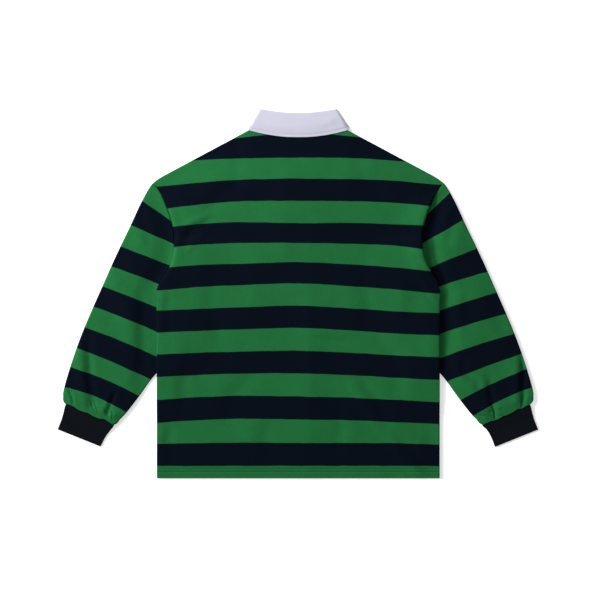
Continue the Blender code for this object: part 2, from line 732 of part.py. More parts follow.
def make_button(name, along, material, collection, cutters):
    """A flat four-hole button, lying under the placket with its face down."""
    rim = BUTTON_RADIUS - 0.5
    dish = BUTTON_RADIUS - 1.8
    profile = [
        (0.0, BUTTON_THICKNESS),
        (rim, BUTTON_THICKNESS),
        (BUTTON_RADIUS, BUTTON_THICKNESS - 0.5),
        (BUTTON_RADIUS, 0.5),
        (rim, 0.0),
        (rim - 0.7, 0.0),
        (dish, BUTTON_RIM),
        (0.0, BUTTON_RIM),
    ]
    button = turned(name, profile, 14, material, collection)
    button.location = place(0.0, along, 0.0)
    holes = bpy.data.meshes.new(name + "_holes")
    work = bmesh.new()
    for quarter in range(4):
        angle = math.pi / 4 + quarter * math.pi / 2
        made = bmesh.ops.create_cone(
            work,
            cap_ends=True,
            segments=6,
            radius1=BUTTON_HOLE_RADIUS * MM,
            radius2=BUTTON_HOLE_RADIUS * MM,
            depth=3 * BUTTON_THICKNESS * MM,
        )
        offset = BUTTON_HOLE_OFFSET * MM
        shift = (offset * math.cos(angle), offset * math.sin(angle), BUTTON_THICKNESS / 2 * MM)
        bmesh.ops.translate(work, vec=shift, verts=made["verts"])
    work.to_mesh(holes)
    work.free()
    cutter = bpy.data.objects.new(name + "_holes", holes)
    cutter.location = button.location
    cutter.hide_render = True
    cutter.display_type = "WIRE"
    cutters.objects.link(cutter)
    cut = button.modifiers.new("holes", "BOOLEAN")
    cut.operation = "DIFFERENCE"
    cut.solver = "EXACT"
    cut.object = cutter
    return button


def new_collection(name):
    collection = bpy.data.collections.new(name)
    bpy.context.scene.collection.children.link(collection)
    return collection


def main():
    for old in list(bpy.data.objects):
        bpy.data.objects.remove(old)
    shirt = new_collection("polo_shirt")
    cutters = new_collection("cutters")
    jersey = new_material("striped_jersey", (0.0176, 0.168, 0.047), 0.85)
    rib = new_material("rib_knit", (0.008, 0.0095, 0.0125), 0.9)
    twill = new_material("collar_twill", (0.62, 0.62, 0.72), 0.8)
    plastic = new_material("button_plastic", (0.7, 0.7, 0.72), 0.4)

    make_back(jersey, shirt)
    make_front(jersey, shirt)
    for side in ("left", "right"):
        make_sleeve(side, jersey, shirt)
        make_cuff(side, rib, shirt)
    make_collar(twill, shirt)
    make_band("placket_over", -0.5, twill, shirt)
    make_band("placket_under", 0.8, twill, shirt)
    for name, along in BUTTON_HEIGHTS.items():
        make_button(name, along, plastic, shirt, cutters)


main()
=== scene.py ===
# %% [markdown]
# # A long-sleeved striped polo shirt, laid out flat with its back up
# The real shirt is a heavy jersey body and sleeves, rib cuffs, and a folded twill collar. This lesson dresses
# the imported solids: each cut piece gets its own thin shell of cloth, its stripes, its knit and its sewing.
# Lengths are in millimetres until a point is placed. Across is measured from the centre line, along from
# the hem to the collar, and up from the floor.

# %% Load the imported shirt
import math
from collections import namedtuple

import bmesh
import bpy
import numpy as np
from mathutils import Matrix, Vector


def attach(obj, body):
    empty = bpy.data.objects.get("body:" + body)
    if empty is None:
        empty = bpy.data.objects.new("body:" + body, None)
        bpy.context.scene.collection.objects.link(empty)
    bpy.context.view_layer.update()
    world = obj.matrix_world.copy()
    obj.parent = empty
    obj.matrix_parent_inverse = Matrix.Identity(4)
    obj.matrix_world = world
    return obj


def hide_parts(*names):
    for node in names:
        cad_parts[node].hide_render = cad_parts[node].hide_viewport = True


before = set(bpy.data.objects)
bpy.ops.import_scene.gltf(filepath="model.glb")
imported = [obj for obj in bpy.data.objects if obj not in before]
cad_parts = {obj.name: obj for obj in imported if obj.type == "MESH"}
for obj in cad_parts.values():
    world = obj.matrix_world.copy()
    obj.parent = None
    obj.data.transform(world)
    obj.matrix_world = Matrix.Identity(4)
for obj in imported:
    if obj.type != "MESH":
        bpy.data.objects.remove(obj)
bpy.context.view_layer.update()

MM = 0.001
SIGN = {"left": -1.0, "right": 1.0}

print("packed nodes:", ", ".join(sorted(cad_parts)))

# %% [markdown]
# ## Sizes of the shirt
# A pattern cutter works from a few named lengths. They are the same ones that the solids were made from, so
# the cloth made here lies exactly on its solid.

# %% Named sizes
CLOTH = 1.3
COLLAR_CLOTH = 1.3
BAND_CLOTH = 1.0
CUFF_CLOTH = 1.3
SEAM_GAP = 0.3
TURNING_GAP = 0.9
LAYER_AIR = 1.1
HALF_WIDTH = 290.0
SHIRT_LENGTH = 755.4
ARMPIT = 385.0
HEM_DEPTH = 20.0
HEM_TURN = 1.0
SHOULDER_TIP = (297.5, 606.0)
SHOULDER_SLOPE = 0.5345
SHOULDER_LINE = (286.4, 614.9)
SHOULDER_ROUND_FROM = 275.0
SHOULDER_ROUND_DROP = 3.2
NECK_HALF_WIDTH = 74.0
BACK_NECK_DROP = 14.4
FRONT_NECK_DROP = 83.4
SLEEVE_HEAD = 3.8
SLEEVE_FULL = 6.4
PUFF_HEIGHT = 0.3
GATHER_DEPTH = 1.7
FRONT_OVER_SLEEVE = 4.15
FRONT_OVER_COLLAR = 1.6
FRONT_OVER_BUTTONS = 2.7
SIDE_RISE = 3.2
ARMHOLE_RISE = 2.5
BACK_OVER_SLEEVE = 6.5
print("shirt length", SHIRT_LENGTH, "mm, half width", HALF_WIDTH, "mm")

# %% [markdown]
# ## Curves through a few measured rows
# An armhole or a sleeve is drawn from a short table of rows. A smooth curve through the rows gives every
# place between them, as a pattern cutter's curved ruler does. NumPy works out a whole sheet of points at
# once, which keeps the script quick.

# %% Smooth helpers
def smooth_step(low, high, value):
    """0 up to low, 1 from high on, with an S-shaped rise between them."""
    share = np.clip((value - low) / (high - low), 0.0, 1.0)
    return share * share * (3.0 - 2.0 * share)


def rise_and_fall(value, rise_from, rise_to, fall_from, fall_to):
    """0 before rise_from, 1 between rise_to and fall_from, and 0 again past fall_to."""
    return smooth_step(rise_from, rise_to, value) * (1.0 - smooth_step(fall_from, fall_to, value))


def mix(first, second, share):
    return first + (second - first) * share


def smooth_max(values, sharpness=8.0):
    """The largest of some heights, rounded where one takes over from another."""
    return sum(np.maximum(value, 0.0) ** sharpness for value in values) ** (1.0 / sharpness)


def hermite(start, leave, end, arrive, t):
    """A curve from start to end, given how fast it leaves and arrives."""
    return (
        (2 * t ** 3 - 3 * t ** 2 + 1) * start
        + (t ** 3 - 2 * t ** 2 + t) * leave
        + (3 * t ** 2 - 2 * t ** 3) * end
        + (t ** 3 - t ** 2) * arrive
    )


def curve_at(keys, rows, wanted):
    """Smooth values between rows of numbers, whose keys rise from row to row."""
    keys = np.asarray(keys, dtype=float)
    rows = np.asarray(rows, dtype=float)
    last = len(keys) - 1
    high = np.minimum(np.arange(last + 1) + 1, last)
    low = np.maximum(np.arange(last + 1) - 1, 0)
    run = keys[high] - keys[low]
    wanted = np.clip(np.asarray(wanted, dtype=float), keys[0], keys[last])
    i = np.clip(np.searchsorted(keys, wanted, side="right") - 1, 0, last - 1)
    width = keys[i + 1] - keys[i]
    t = (wanted - keys[i]) / width
    if rows.ndim > 1:
        run = run[:, None]
        width = width[..., None]
        t = t[..., None]
    slope = (rows[high] - rows[low]) / run
    return hermite(rows[i], slope[i] * width, rows[i + 1], slope[i + 1] * width, t)


def place(across, along, up):
    """Points in metres, from millimetres across, along and up."""
    parts = np.broadcast_arrays(across, np.asarray(along) - SHIRT_LENGTH / 2, up)
    return np.stack(parts, axis=-1) * MM


print("halfway up a smooth step:", smooth_step(0.0, 10.0, 5.0))

# %% [markdown]
# ## Outline of the body
# The back and front panels share their side seams, armholes and shoulder seams. Only the necklines differ.

# %% Armhole, shoulder and neck
ARMHOLE_HEIGHTS = [385.0, 403.0, 437.0, 482.0, 524.0, 577.5, 594.0, 606.0]
ARMHOLE_HALF_WIDTHS = [290.0, 283.0, 262.5, 254.2, 259.0, 278.5, 288.0, 297.5]
TUCK_HEIGHTS = [120.0, 170.0, 215.0, 240.0, 272.0, 303.0, 350.0, 417.0, 482.0]
TUCK_REACH = [350.0, 313.0, 289.5, 270.0, 258.0, 250.0, 240.0, 228.0, 228.0]


def shoulder_height(across):
    """Height along the shirt of the shoulder line, which droops at its outer end."""
    past = np.maximum(0.0, np.abs(across) - SHOULDER_ROUND_FROM) / (SHOULDER_TIP[0] - SHOULDER_ROUND_FROM)
    straight = SHOULDER_LINE[1] + (SHOULDER_LINE[0] - np.abs(across)) * SHOULDER_SLOPE
    return straight - SHOULDER_ROUND_DROP * past * past


def top_edge(across, panel):
    """Height along the shirt of a panel's shoulder seam, or of its neckline between the two seams."""
    drop = BACK_NECK_DROP if panel == "back" else FRONT_NECK_DROP
    power = 2.0 if panel == "back" else 2.2
    inside = np.minimum(np.abs(across) / NECK_HALF_WIDTH, 1.0)
    neckline = shoulder_height(NECK_HALF_WIDTH) - drop * (1.0 - inside ** power)
    return np.where(np.abs(across) >= NECK_HALF_WIDTH, shoulder_height(across), neckline)


def edge_half_width(along):
    return curve_at(ARMHOLE_HEIGHTS, ARMHOLE_HALF_WIDTHS, along)


print("half width at the narrowest of the armhole:", round(float(edge_half_width(482.0)), 1), "mm")

# %% [markdown]
# ## Wrinkles
# Cloth that lies flat still keeps soft troughs and ridges: where it was folded, where a seam pulls, and where
# a sleeve is tucked beneath. Each is drawn as a short path with its own width and depth, fading out at both
# ends, so no two are alike. A trough throws up a low roll of cloth beside it, on its left or its right.

# %% Wrinkle paths
Wrinkle = namedtuple("Wrinkle", "path width depth roll")
WRINKLE_ENDS = (-0.12, 0.3, 0.7, 1.12)
ROLL_AWAY = 1.9
ROLL_WIDTH = 1.3
BACK_WRINKLES = [
    Wrinkle([(24, 450), (26, 300), (24, 170), (20, 8)], 36.0, -2.4, 0.0),
    Wrinkle([(24, 430), (26, 300), (24, 170), (20, 8)], 12.0, -0.45, 0.0),
    Wrinkle([(116, 212), (152, 172), (188, 116)], 10.5, 2.0, -2.7),
    Wrinkle([(198, 88), (234, 54), (272, 18)], 10.5, 2.2, -2.9),
    Wrinkle([(30, 288), (62, 282), (104, 280)], 8.0, 0.9, 0.9),
    Wrinkle([(-172, 532), (-212, 514), (-241, 484)], 6.5, 1.9, -1.2),
    Wrinkle([(-196, 508), (-222, 494), (-236, 470)], 6.0, 1.2, 1.0),
    Wrinkle([(-228, 222), (-240, 184), (-238, 142)], 13.0, 1.5, 1.1),
    Wrinkle([(-256, 116), (-266, 74), (-256, 26)], 12.0, 1.3, -1.2),
    Wrinkle([(-262, 384), (-270, 346), (-264, 296)], 9.0, 1.2, -1.1),
    Wrinkle([(242, 586), (256, 573), (270, 560)], 3.8, 1.5, 1.0),
    Wrinkle([(206, 482), (220, 474), (234, 470)], 4.0, 0.9, 0.6),
    Wrinkle([(236, 456), (254, 437), (272, 420)], 4.6, 1.3, 1.0),
    Wrinkle([(250, 426), (270, 402), (286, 376)], 4.6, 1.5, 1.1),
    Wrinkle([(236, 400), (256, 384), (280, 352)], 6.0, 0.9, 0.9),
    Wrinkle([(118, 612), (156, 596), (190, 566)], 14.0, 1.1, 1.0),
    Wrinkle([(-112, 606), (-156, 584), (-190, 540)], 14.0, 1.1, -1.0),
    Wrinkle([(-170, 440), (-180, 350), (-168, 270)], 18.0, 1.1, 0.9),
    Wrinkle([(-96, 470), (-92, 380), (-104, 300)], 20.0, -1.0, 0.0),
    Wrinkle([(128, 430), (142, 350), (134, 290)], 16.0, 1.0, -0.9),
    Wrinkle([(218, 420), (206, 350), (214, 290)], 18.0, -1.1, 0.0),
    Wrinkle([(190, 258), (206, 205), (196, 160)], 15.0, 1.2, 1.0),
    Wrinkle([(-86, 226), (-128, 170), (-156, 96)], 18.0, 1.1, -1.0),
    Wrinkle([(80, 156), (86, 100), (74, 40)], 14.0, 1.0, 0.9),
    Wrinkle([(-60, 130), (-66, 80), (-52, 28)], 16.0, 1.0, -0.8),
    Wrinkle([(-30, 640), (-22, 560), (-34, 480)], 26.0, -0.9, 0.0),
]
FRONT_WRINKLES = [
    Wrinkle([(60, 470), (84, 420), (120, 380)], 14.0, 0.6, 0.8),
    Wrinkle([(-70, 500), (-110, 440), (-160, 400)], 16.0, 0.6, -0.8),
    Wrinkle([(-150, 210), (-190, 150), (-236, 90)], 14.0, 0.8, 1.0),
    Wrinkle([(110, 240), (128, 180), (122, 100)], 18.0, 0.6, -0.8),
    Wrinkle([(-30, 330), (-24, 220), (-28, 90)], 17.0, 0.5, 0.8),
    Wrinkle([(190, 330), (214, 300), (246, 282)], 10.0, 0.7, 0.8),
    Wrinkle([(0, 464), (4, 430), (-2, 390)], 9.0, 0.5, 0.7),
]


def path_distance(path, across, along):
    """Signed distance from a path of straight runs, and how far along it the nearest place is."""
    points = np.asarray(path, dtype=float)
    runs = np.diff(points, axis=0)
    lengths = np.hypot(runs[:, 0], runs[:, 1])
    total = lengths.sum()
    best = None
    for n, (start, run, length) in enumerate(zip(points, runs, lengths)):
        share = ((across - start[0]) * run[0] + (along - start[1]) * run[1]) / length ** 2
        if n > 0:
            share = np.maximum(share, 0.0)
        if n < len(runs) - 1:
            share = np.minimum(share, 1.0)
        side = ((along - start[1]) * run[0] - (across - start[0]) * run[1]) / length
        off_x = across - start[0] - share * run[0]
        off_y = along - start[1] - share * run[1]
        away = np.hypot(off_x, off_y)
        part = (lengths[:n].sum() + share * length) / total
        if best is None:
            best = (away, np.sign(side), part)
        else:
            nearer = away < best[0]
            found = (away, np.sign(side), part)
            best = tuple(np.where(nearer, new, old) for new, old in zip(found, best))
    return best[0] * best[1], best[2]


def wrinkle_height(wrinkles, across, along):
    """Height that wrinkles add: negative in a trough, positive on the roll beside it."""
    height = np.zeros(np.broadcast(across, along).shape)
    for wrinkle in wrinkles:
        away, part = path_distance(wrinkle.path, across, along)
        taper = rise_and_fall(part, *WRINKLE_ENDS)
        trough = np.exp(-((away / wrinkle.width) ** 2))
        beside = np.copysign(ROLL_AWAY * wrinkle.width, wrinkle.roll)
        roll = np.exp(-(((away - beside) / (ROLL_WIDTH * wrinkle.width)) ** 2))
        height += taper * (abs(wrinkle.roll) * roll - wrinkle.depth * trough)
    return height


print(len(BACK_WRINKLES), "wrinkles on the back,", len(FRONT_WRINKLES), "on the front")

# %% [markdown]
# ## Layers of the body
# The shirt lies on its front. The front panel rises a little over the collar, the buttons and the part of
# each sleeve that is tucked in below. A smooth step from one height to the next stands for cloth that can't
# bend sharply.

# %% What lies below the panels
TUCK_FROM = 20.0
TUCK_TOP = (483.0, 502.0)
TUCK_RAMP = 62.0
BACK_TUCK_RAMP = 135.0
Box = namedtuple("Box", "half_width low high ramp")
COLLAR_BOX = Box(100.0, 600.0, SHIRT_LENGTH, 36.0)
BUTTON_BOX = Box(21.0, 490.0, 628.0, 20.0)
BACK_BUTTON_RAMP = 75.0
NO_LOFT_BOX = Box(112.0, 664.0, SHIRT_LENGTH, 46.0)


def tucked_share(across, along, ramp=TUCK_RAMP):
    """How fully a place on the body lies on the part of the sleeve that is folded beneath it."""
    outside = curve_at(TUCK_HEIGHTS, TUCK_REACH, along) - np.abs(across)
    return (1.0 - smooth_step(TUCK_FROM, ramp, outside)) * (1.0 - smooth_step(*TUCK_TOP, along))


def box_share(across, along, box):
    """1 over a box, fading to 0 at the end of the ramp round it."""
    away_x = np.maximum(0.0, np.abs(across) - box.half_width)
    away_y = np.maximum(0.0, np.maximum(box.low - along, along - box.high))
    return 1.0 - smooth_step(0.0, box.ramp, np.hypot(away_x, away_y))


def front_under(across, along, button_ramp=BUTTON_BOX.ramp):
    """Height of the front panel's lower side, over the collar, the buttons and the tucked sleeves."""
    over_collar = FRONT_OVER_COLLAR * box_share(across, along, COLLAR_BOX)
    over_buttons = FRONT_OVER_BUTTONS * box_share(across, along, BUTTON_BOX._replace(ramp=button_ramp))
    over_sleeve = FRONT_OVER_SLEEVE * tucked_share(across, along)
    return smooth_max([over_collar, over_buttons, over_sleeve])


print("front panel over the buttons:", round(float(front_under(0.0, 571.0)), 2), "mm above the floor")

# %% [markdown]
# The back panel lies over the front and rises over the same things, with a little air between. Beside the
# right armhole the back swells most, so in the photo it shades the sleeve there.

# %% Heights of the front and back panels
FoldRow = namedtuple("FoldRow", "from_x from_y to_x to_y width rise")
BACK_FOLDS = [
    FoldRow(150.0, 170.0, 272.0, 22.0, 22.0, 1.6),
    FoldRow(246.0, 590.0, 210.0, 470.0, 18.0, 1.2),
    FoldRow(-252.0, 590.0, -200.0, 500.0, 20.0, 1.4),
    FoldRow(-236.0, 330.0, -262.0, 120.0, 20.0, 1.0),
    FoldRow(-60.0, 660.0, -90.0, 300.0, 45.0, 0.9),
    FoldRow(75.0, 650.0, 110.0, 330.0, 45.0, 0.9),
]
FOLD_ENDS = (-0.15, 0.3, 0.7, 1.15)
STITCH_LINES = (13.8, 19.3)
STITCH_GROOVE = 0.9
STITCH_GROOVE_WIDTH = 1.1
LOFT = 1.6
LOFT_RAMP = 60.0
EDGE_PUFF = {"left": 2.2, "right": 3.8}
ARMHOLE_PUFF = 9.2
PUFF_RUN = (170.0, 260.0, 548.0, 600.0)
PUFF_WIDTH = 26.0
PUFF_PEAK = 14.0
ARMHOLE_PUFF_PEAK = 5.0
ARMHOLE_PUFF_FROM = (390.0, 440.0)
SEWN_WIDTH = 4.5
SEWN_FROM = (370.0, 420.0)
HEM_SLOPE = (24.0, 64.0)
ARMHOLE_RISE_AT = 500.0
SIDE_RISE_FADE = (34.0, 78.0)
SHOULDER_RISE_FADE = (5.0, 40.0)
BACK_SHARPNESS = 16.0
FOLD_INSET = (8.0, 40.0)
WRINKLE_INSET = (2.0, 14.0)
FRONT_SIDE_INSET = (6.0, 40.0)
FRONT_TOP_INSET = (4.0, 30.0)
FRONT_WRINKLE_SHARE = 0.55
ARMPIT_TURN = (290.0, 340.0, 560.0, 590.0)
NECK_TURN_FROM = (600.0, 640.0)
NECK_TURN_WITHIN = (114.0, 150.0)
NECK_TURN_SHARE = 0.5


def fold_rise(across, along):
    """The long low folds that the back keeps from lying folded."""
    rise = 0.0
    for row in BACK_FOLDS:
        run_x = row.to_x - row.from_x
        run_y = row.to_y - row.from_y
        run = math.hypot(run_x, run_y)
        share = ((across - row.from_x) * run_x + (along - row.from_y) * run_y) / run ** 2
        away = ((across - row.from_x) * run_y - (along - row.from_y) * run_x) / run
        taper = rise_and_fall(share, *FOLD_ENDS)
        rise = rise + row.rise * taper * np.exp(-((away / row.width) ** 2))
    return rise


def edge_puff(across, along, from_edge):
    """The body swells where its side lies on the tucked sleeve, more on the right than on the left."""
    by_armhole = smooth_step(*ARMHOLE_PUFF_FROM, along)
    size = np.where(across > 0.0, mix(EDGE_PUFF["right"], ARMHOLE_PUFF, by_armhole), EDGE_PUFF["left"])
    run = rise_and_fall(along, *PUFF_RUN)
    sewn = smooth_step(*SEWN_FROM, along) * np.exp(-((from_edge / SEWN_WIDTH) ** 2)) * (across < 0.0)
    peak = mix(PUFF_PEAK, ARMHOLE_PUFF_PEAK, by_armhole)
    return size * run * np.exp(-(((from_edge - peak) / PUFF_WIDTH) ** 2)) * (1.0 - sewn)


def stitch_groove(along):
    """The needle pulls the cloth down along each row of the hem's stitching."""
    rows = sum(np.exp(-(((along - line) / STITCH_GROOVE_WIDTH) ** 2)) for line in STITCH_LINES)
    return -STITCH_GROOVE * rows


def back_top(across, along):
    """Height of the back panel's upper side, with its loft, its folds and its wrinkles."""
    hem = 2.0 * HEM_TURN * (1.0 - smooth_step(*HEM_SLOPE, along))
    on_front = front_under(across, along, BACK_BUTTON_RAMP) + CLOTH + LAYER_AIR + hem
    from_edge = edge_half_width(along) - np.abs(across)
    rise = mix(SIDE_RISE, ARMHOLE_RISE, smooth_step(ARMPIT, ARMHOLE_RISE_AT, along))
    beside_edge = rise * (1.0 - smooth_step(*SIDE_RISE_FADE, from_edge))
    over_sleeve = BACK_OVER_SLEEVE * tucked_share(across, along, BACK_TUCK_RAMP)
    from_shoulder = shoulder_height(across) - along
    under_shoulder = ARMHOLE_RISE * (1.0 - smooth_step(*SHOULDER_RISE_FADE, from_shoulder))
    from_seam = np.minimum(from_edge, from_shoulder)
    inside = smooth_step(*FOLD_INSET, from_seam)
    under = smooth_max([on_front, beside_edge, over_sleeve, under_shoulder], BACK_SHARPNESS)
    fine_inside = smooth_step(*WRINKLE_INSET, from_seam)
    wrinkles = wrinkle_height(BACK_WRINKLES, across, along) * fine_inside
    loft = LOFT * smooth_step(0.0, LOFT_RAMP, np.minimum(from_seam, along))
    loft = loft + edge_puff(across, along, from_edge)
    below_collar = 1.0 - box_share(across, along, NO_LOFT_BOX)
    added = (loft + wrinkles) * below_collar
    return under + CLOTH + fold_rise(across, along) * inside + added + stitch_groove(along)


def front_outside(across, along):
    """The front's underside with its own wrinkles, which lift it off the floor and never below it."""
    from_edge = edge_half_width(along) - np.abs(across)
    from_top = top_edge(across, "front") - along
    inside = smooth_step(*FRONT_SIDE_INSET, from_edge) * smooth_step(*FRONT_TOP_INSET, from_top)
    wrinkles = np.maximum(0.0, -FRONT_WRINKLE_SHARE * wrinkle_height(FRONT_WRINKLES, across, along))
    return front_under(across, along) + wrinkles * inside - stitch_groove(along)


def layers(across, along):
    """Heights of the body's outside below and above, and the gap between the two where they meet."""
    by_armpit = rise_and_fall(along, *ARMPIT_TURN)
    within = 1.0 - smooth_step(*NECK_TURN_WITHIN, np.abs(across))
    by_neck = smooth_step(*NECK_TURN_FROM, along) * within
    gap = mix(SEAM_GAP, TURNING_GAP, np.maximum(by_armpit, NECK_TURN_SHARE * by_neck))
    return front_outside(across, along), back_top(across, along), gap


print("back panel over the middle:", round(float(back_top(0.0, 300.0)), 2), "mm above the floor")

# %% [markdown]
# ## Stripes as woven yarn, not as paint
# Each band is knitted, so it bends wherever the cloth bends. Every place on the cloth is given a count of
# bands from the hem, kept in a UV map beside the place across, and the material reads its colour from that
# count. The table says how far each edge between two bands has sagged at six places across the back.

# %% Band counts on the body
STRIPE_STATIONS = [-283.0, -201.0, -119.0, 0.0, 119.0, 201.0, 283.0]
StripeRow = namedtuple("StripeRow", "height far_left left near_left near_right right far_right")
BODY_STRIPES = [
    StripeRow(-21.0, 0.0, 0.0, 0.0, 0.0, 0.0, 0.0),
    StripeRow(25.6, 0.0, 0.4, 0.0, 0.0, 0.0, 0.4),
    StripeRow(72.6, 2.0, 0.4, -0.6, 0.2, 0.4, 3.3),
    StripeRow(120.5, 6.4, 1.2, -1.2, 1.8, 5.7, 9.0),
    StripeRow(167.9, 6.6, 1.4, -1.2, 2.9, 7.2, 11.5),
    StripeRow(215.0, 7.0, 3.1, 0.6, 4.5, 9.0, 13.3),
    StripeRow(261.5, 7.4, 3.9, 1.8, 4.9, 9.6, 12.7),
    StripeRow(308.2, 9.4, 5.9, 3.1, 6.1, 11.5, 14.8),
    StripeRow(353.9, 10.0, 6.4, 3.3, 6.1, 11.9, 14.8),
    StripeRow(399.4, 14.8, 7.2, 3.7, 6.6, 12.5, 21.1),
    StripeRow(443.1, 12.0, 5.7, 3.5, 5.4, 11.3, 20.0),
    StripeRow(482.2, 12.0, 3.5, 0.0, 2.2, 5.9, 18.0),
    StripeRow(522.6, 10.0, 1.2, -2.3, -0.9, 2.3, 5.0),
    StripeRow(568.3, 17.4, 7.4, 0.8, 0.7, 3.9, 12.3),
    StripeRow(614.0, 15.8, 7.8, 2.0, 1.2, 4.5, 12.1),
    StripeRow(656.9, 12.0, 4.3, 1.6, 1.1, 6.4, 12.0),
    StripeRow(708.0, 30.0, 20.0, 9.8, 8.0, 18.0, 28.0),
    StripeRow(754.0, 40.0, 28.0, 14.0, 14.0, 28.0, 40.0),
]
BAND_WIDTH = 46.7


def body_bands(across, along):
    """Count of bands from the hem, whole at each edge between two bands."""
    drops = [(*row[1:4], 0.0, *row[4:]) for row in BODY_STRIPES]
    heights = np.array([row.height for row in BODY_STRIPES])
    sag = curve_at(STRIPE_STATIONS, np.array(drops).T, across)
    edges = heights - sag
    count = 0.0
    for n in range(len(heights) - 1):
        low = edges[..., n]
        high = edges[..., n + 1]
        count = count + np.clip((along - low) / (high - low), 0.0, 1.0)
    return count


print("bands up the centre back:", round(float(body_bands(0.0, 740.0)), 2))

# %% [markdown]
# ## From a grid of points to a sheet of cloth
# A woven or knitted piece is one surface with a thickness. The quickest exact way is a grid of points, filled
# with faces, that a Solidify modifier then thickens. A small Bevel rounds its raw and folded edges.

# %% Sheet helpers
shirt = bpy.data.collections.new("dressed_shirt")
bpy.context.scene.collection.children.link(shirt)


def sheet_object(name, grid, cloth_places, ring=False, skip=None, flip=False, closed=False):
    """A sheet of faces on a grid of points. cloth_places holds the place across and the band count."""
    rows, columns = grid.shape[:2]
    index = np.arange(rows * columns).reshape(rows, columns)
    if ring:
        index = np.hstack([index, index[:, :1]])
    if closed:
        index = np.vstack([index, index[:1]])
    corners = np.stack([index[:-1, :-1], index[:-1, 1:], index[1:, 1:], index[1:, :-1]], axis=-1)
    if skip is not None:
        corners = corners[~skip]
    faces = corners.reshape(-1, 4)
    if flip:
        faces = faces[:, ::-1]
    used, places = np.unique(faces, return_inverse=True)
    faces = places.reshape(faces.shape)
    mesh = bpy.data.meshes.new(name)
    mesh.from_pydata(grid.reshape(-1, 3)[used], [], faces.tolist())
    layer = mesh.uv_layers.new(name="cloth")
    corner_points = np.empty(len(mesh.loops), dtype=np.int32)
    mesh.loops.foreach_get("vertex_index", corner_points)
    spots = cloth_places.reshape(-1, 2)[used]
    layer.data.foreach_set("uv", spots[corner_points].astype(np.float32).ravel())
    mesh.shade_smooth()
    made = bpy.data.objects.new(name, mesh)
    shirt.objects.link(made)
    return made


def thicken(made, thickness, offset=-1.0, soft_edge=0.45):
    wall = made.modifiers.new("cloth", "SOLIDIFY")
    wall.thickness = thickness * MM
    wall.offset = offset
    wall.use_rim = True
    if soft_edge:
        edge = made.modifiers.new("soft_edge", "BEVEL")
        edge.width = soft_edge * MM
        edge.segments = 2
        edge.limit_method = "ANGLE"
        edge.angle_limit = math.radians(55.0)
    return wall


def surface_area(made):
    """Half of a piece's whole surface, in square metres: the area of its cloth."""
    graph = bpy.context.evaluated_depsgraph_get()
    shown = made.evaluated_get(graph)
    mesh = shown.to_mesh()
    area = sum(face.area for face in mesh.polygons) / 2
    shown.to_mesh_clear()
    return area


def wear(piece, slot, *nodes):
    """Fastens a piece to the shirt's one body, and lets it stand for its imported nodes."""
    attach(piece, "root")
    if nodes:
        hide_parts(*nodes)


# %% [markdown]
# ## Back and front panels
# Both panels are cut to one outline and sewn along the sides and shoulders. Laid flat, each turns down at the
# seam in a quarter round. The grid follows that outline: its rows bend into the shoulder line, and its last
# columns go round the turn. Beside the armholes only the back turns down, over the front's edge and the seam.

# %% Grid of a panel
TURN_POINTS = 7
COLUMN_STEP = 3.5
ROW_STEP = 3.6
LAST_COLUMN = 291.0
FLAT_RIM = 3.2
SLIT_HALF_WIDTH = 16.0
RIGHT_BULGE = 3.2
RIGHT_BULGE_AT = 428.0
RIGHT_BULGE_WIDTH = 24.0
ARMHOLE_SEAM = 3.9
ARMHOLE_TURN = (400.0, 440.0, 548.0, 596.0)
ARMHOLE_TURN_SHARE = 0.55
SIDE_TURN_ENDS = (335.0, 391.0)
SLIT_COLUMNS = 5
TOP_ROW_INSET = 3.5
BELOW_SHOULDER = 3.0
INSIDE_EDGE = 2.0
NECK_CURL_RUN = (76.0, 110.0)
BULGE_POWER = 8
SHOULDER_BEND = 1.4
STITCHED_ROWS = [1.0, 12.3, 13.8, 15.3, 17.8, 19.3, 20.8]


def turn_shares():
    """Quarter round from a seam inwards: inset and rise as shares, and the inset where it stays flat."""
    angles = np.linspace(0.0, math.pi / 2, TURN_POINTS)
    flat = np.linspace(0.0, FLAT_RIM, TURN_POINTS)
    return 1.0 - np.cos(angles), np.sin(angles), flat


def half_columns(panel):
    """Columns of half a panel: distance across at the shoulder's height, and shares of the side turn."""
    first = SLIT_HALF_WIDTH if panel == "front" else 0.0
    run = LAST_COLUMN - first
    plain = np.arange(first, LAST_COLUMN + 0.1, run / round(run / COLUMN_STEP))
    inset, rise, flat = (values[::-1] for values in turn_shares())
    tips = np.concatenate([plain, np.full(TURN_POINTS, SHOULDER_TIP[0])])
    rim = np.concatenate([np.zeros(len(plain), bool), np.ones(TURN_POINTS, bool)])
    insets = np.concatenate([np.zeros(len(plain)), inset])
    flats = np.concatenate([np.zeros(len(plain)), flat])
    rises = np.concatenate([np.ones(len(plain)), rise])
    return tips, rim, insets, flats, rises


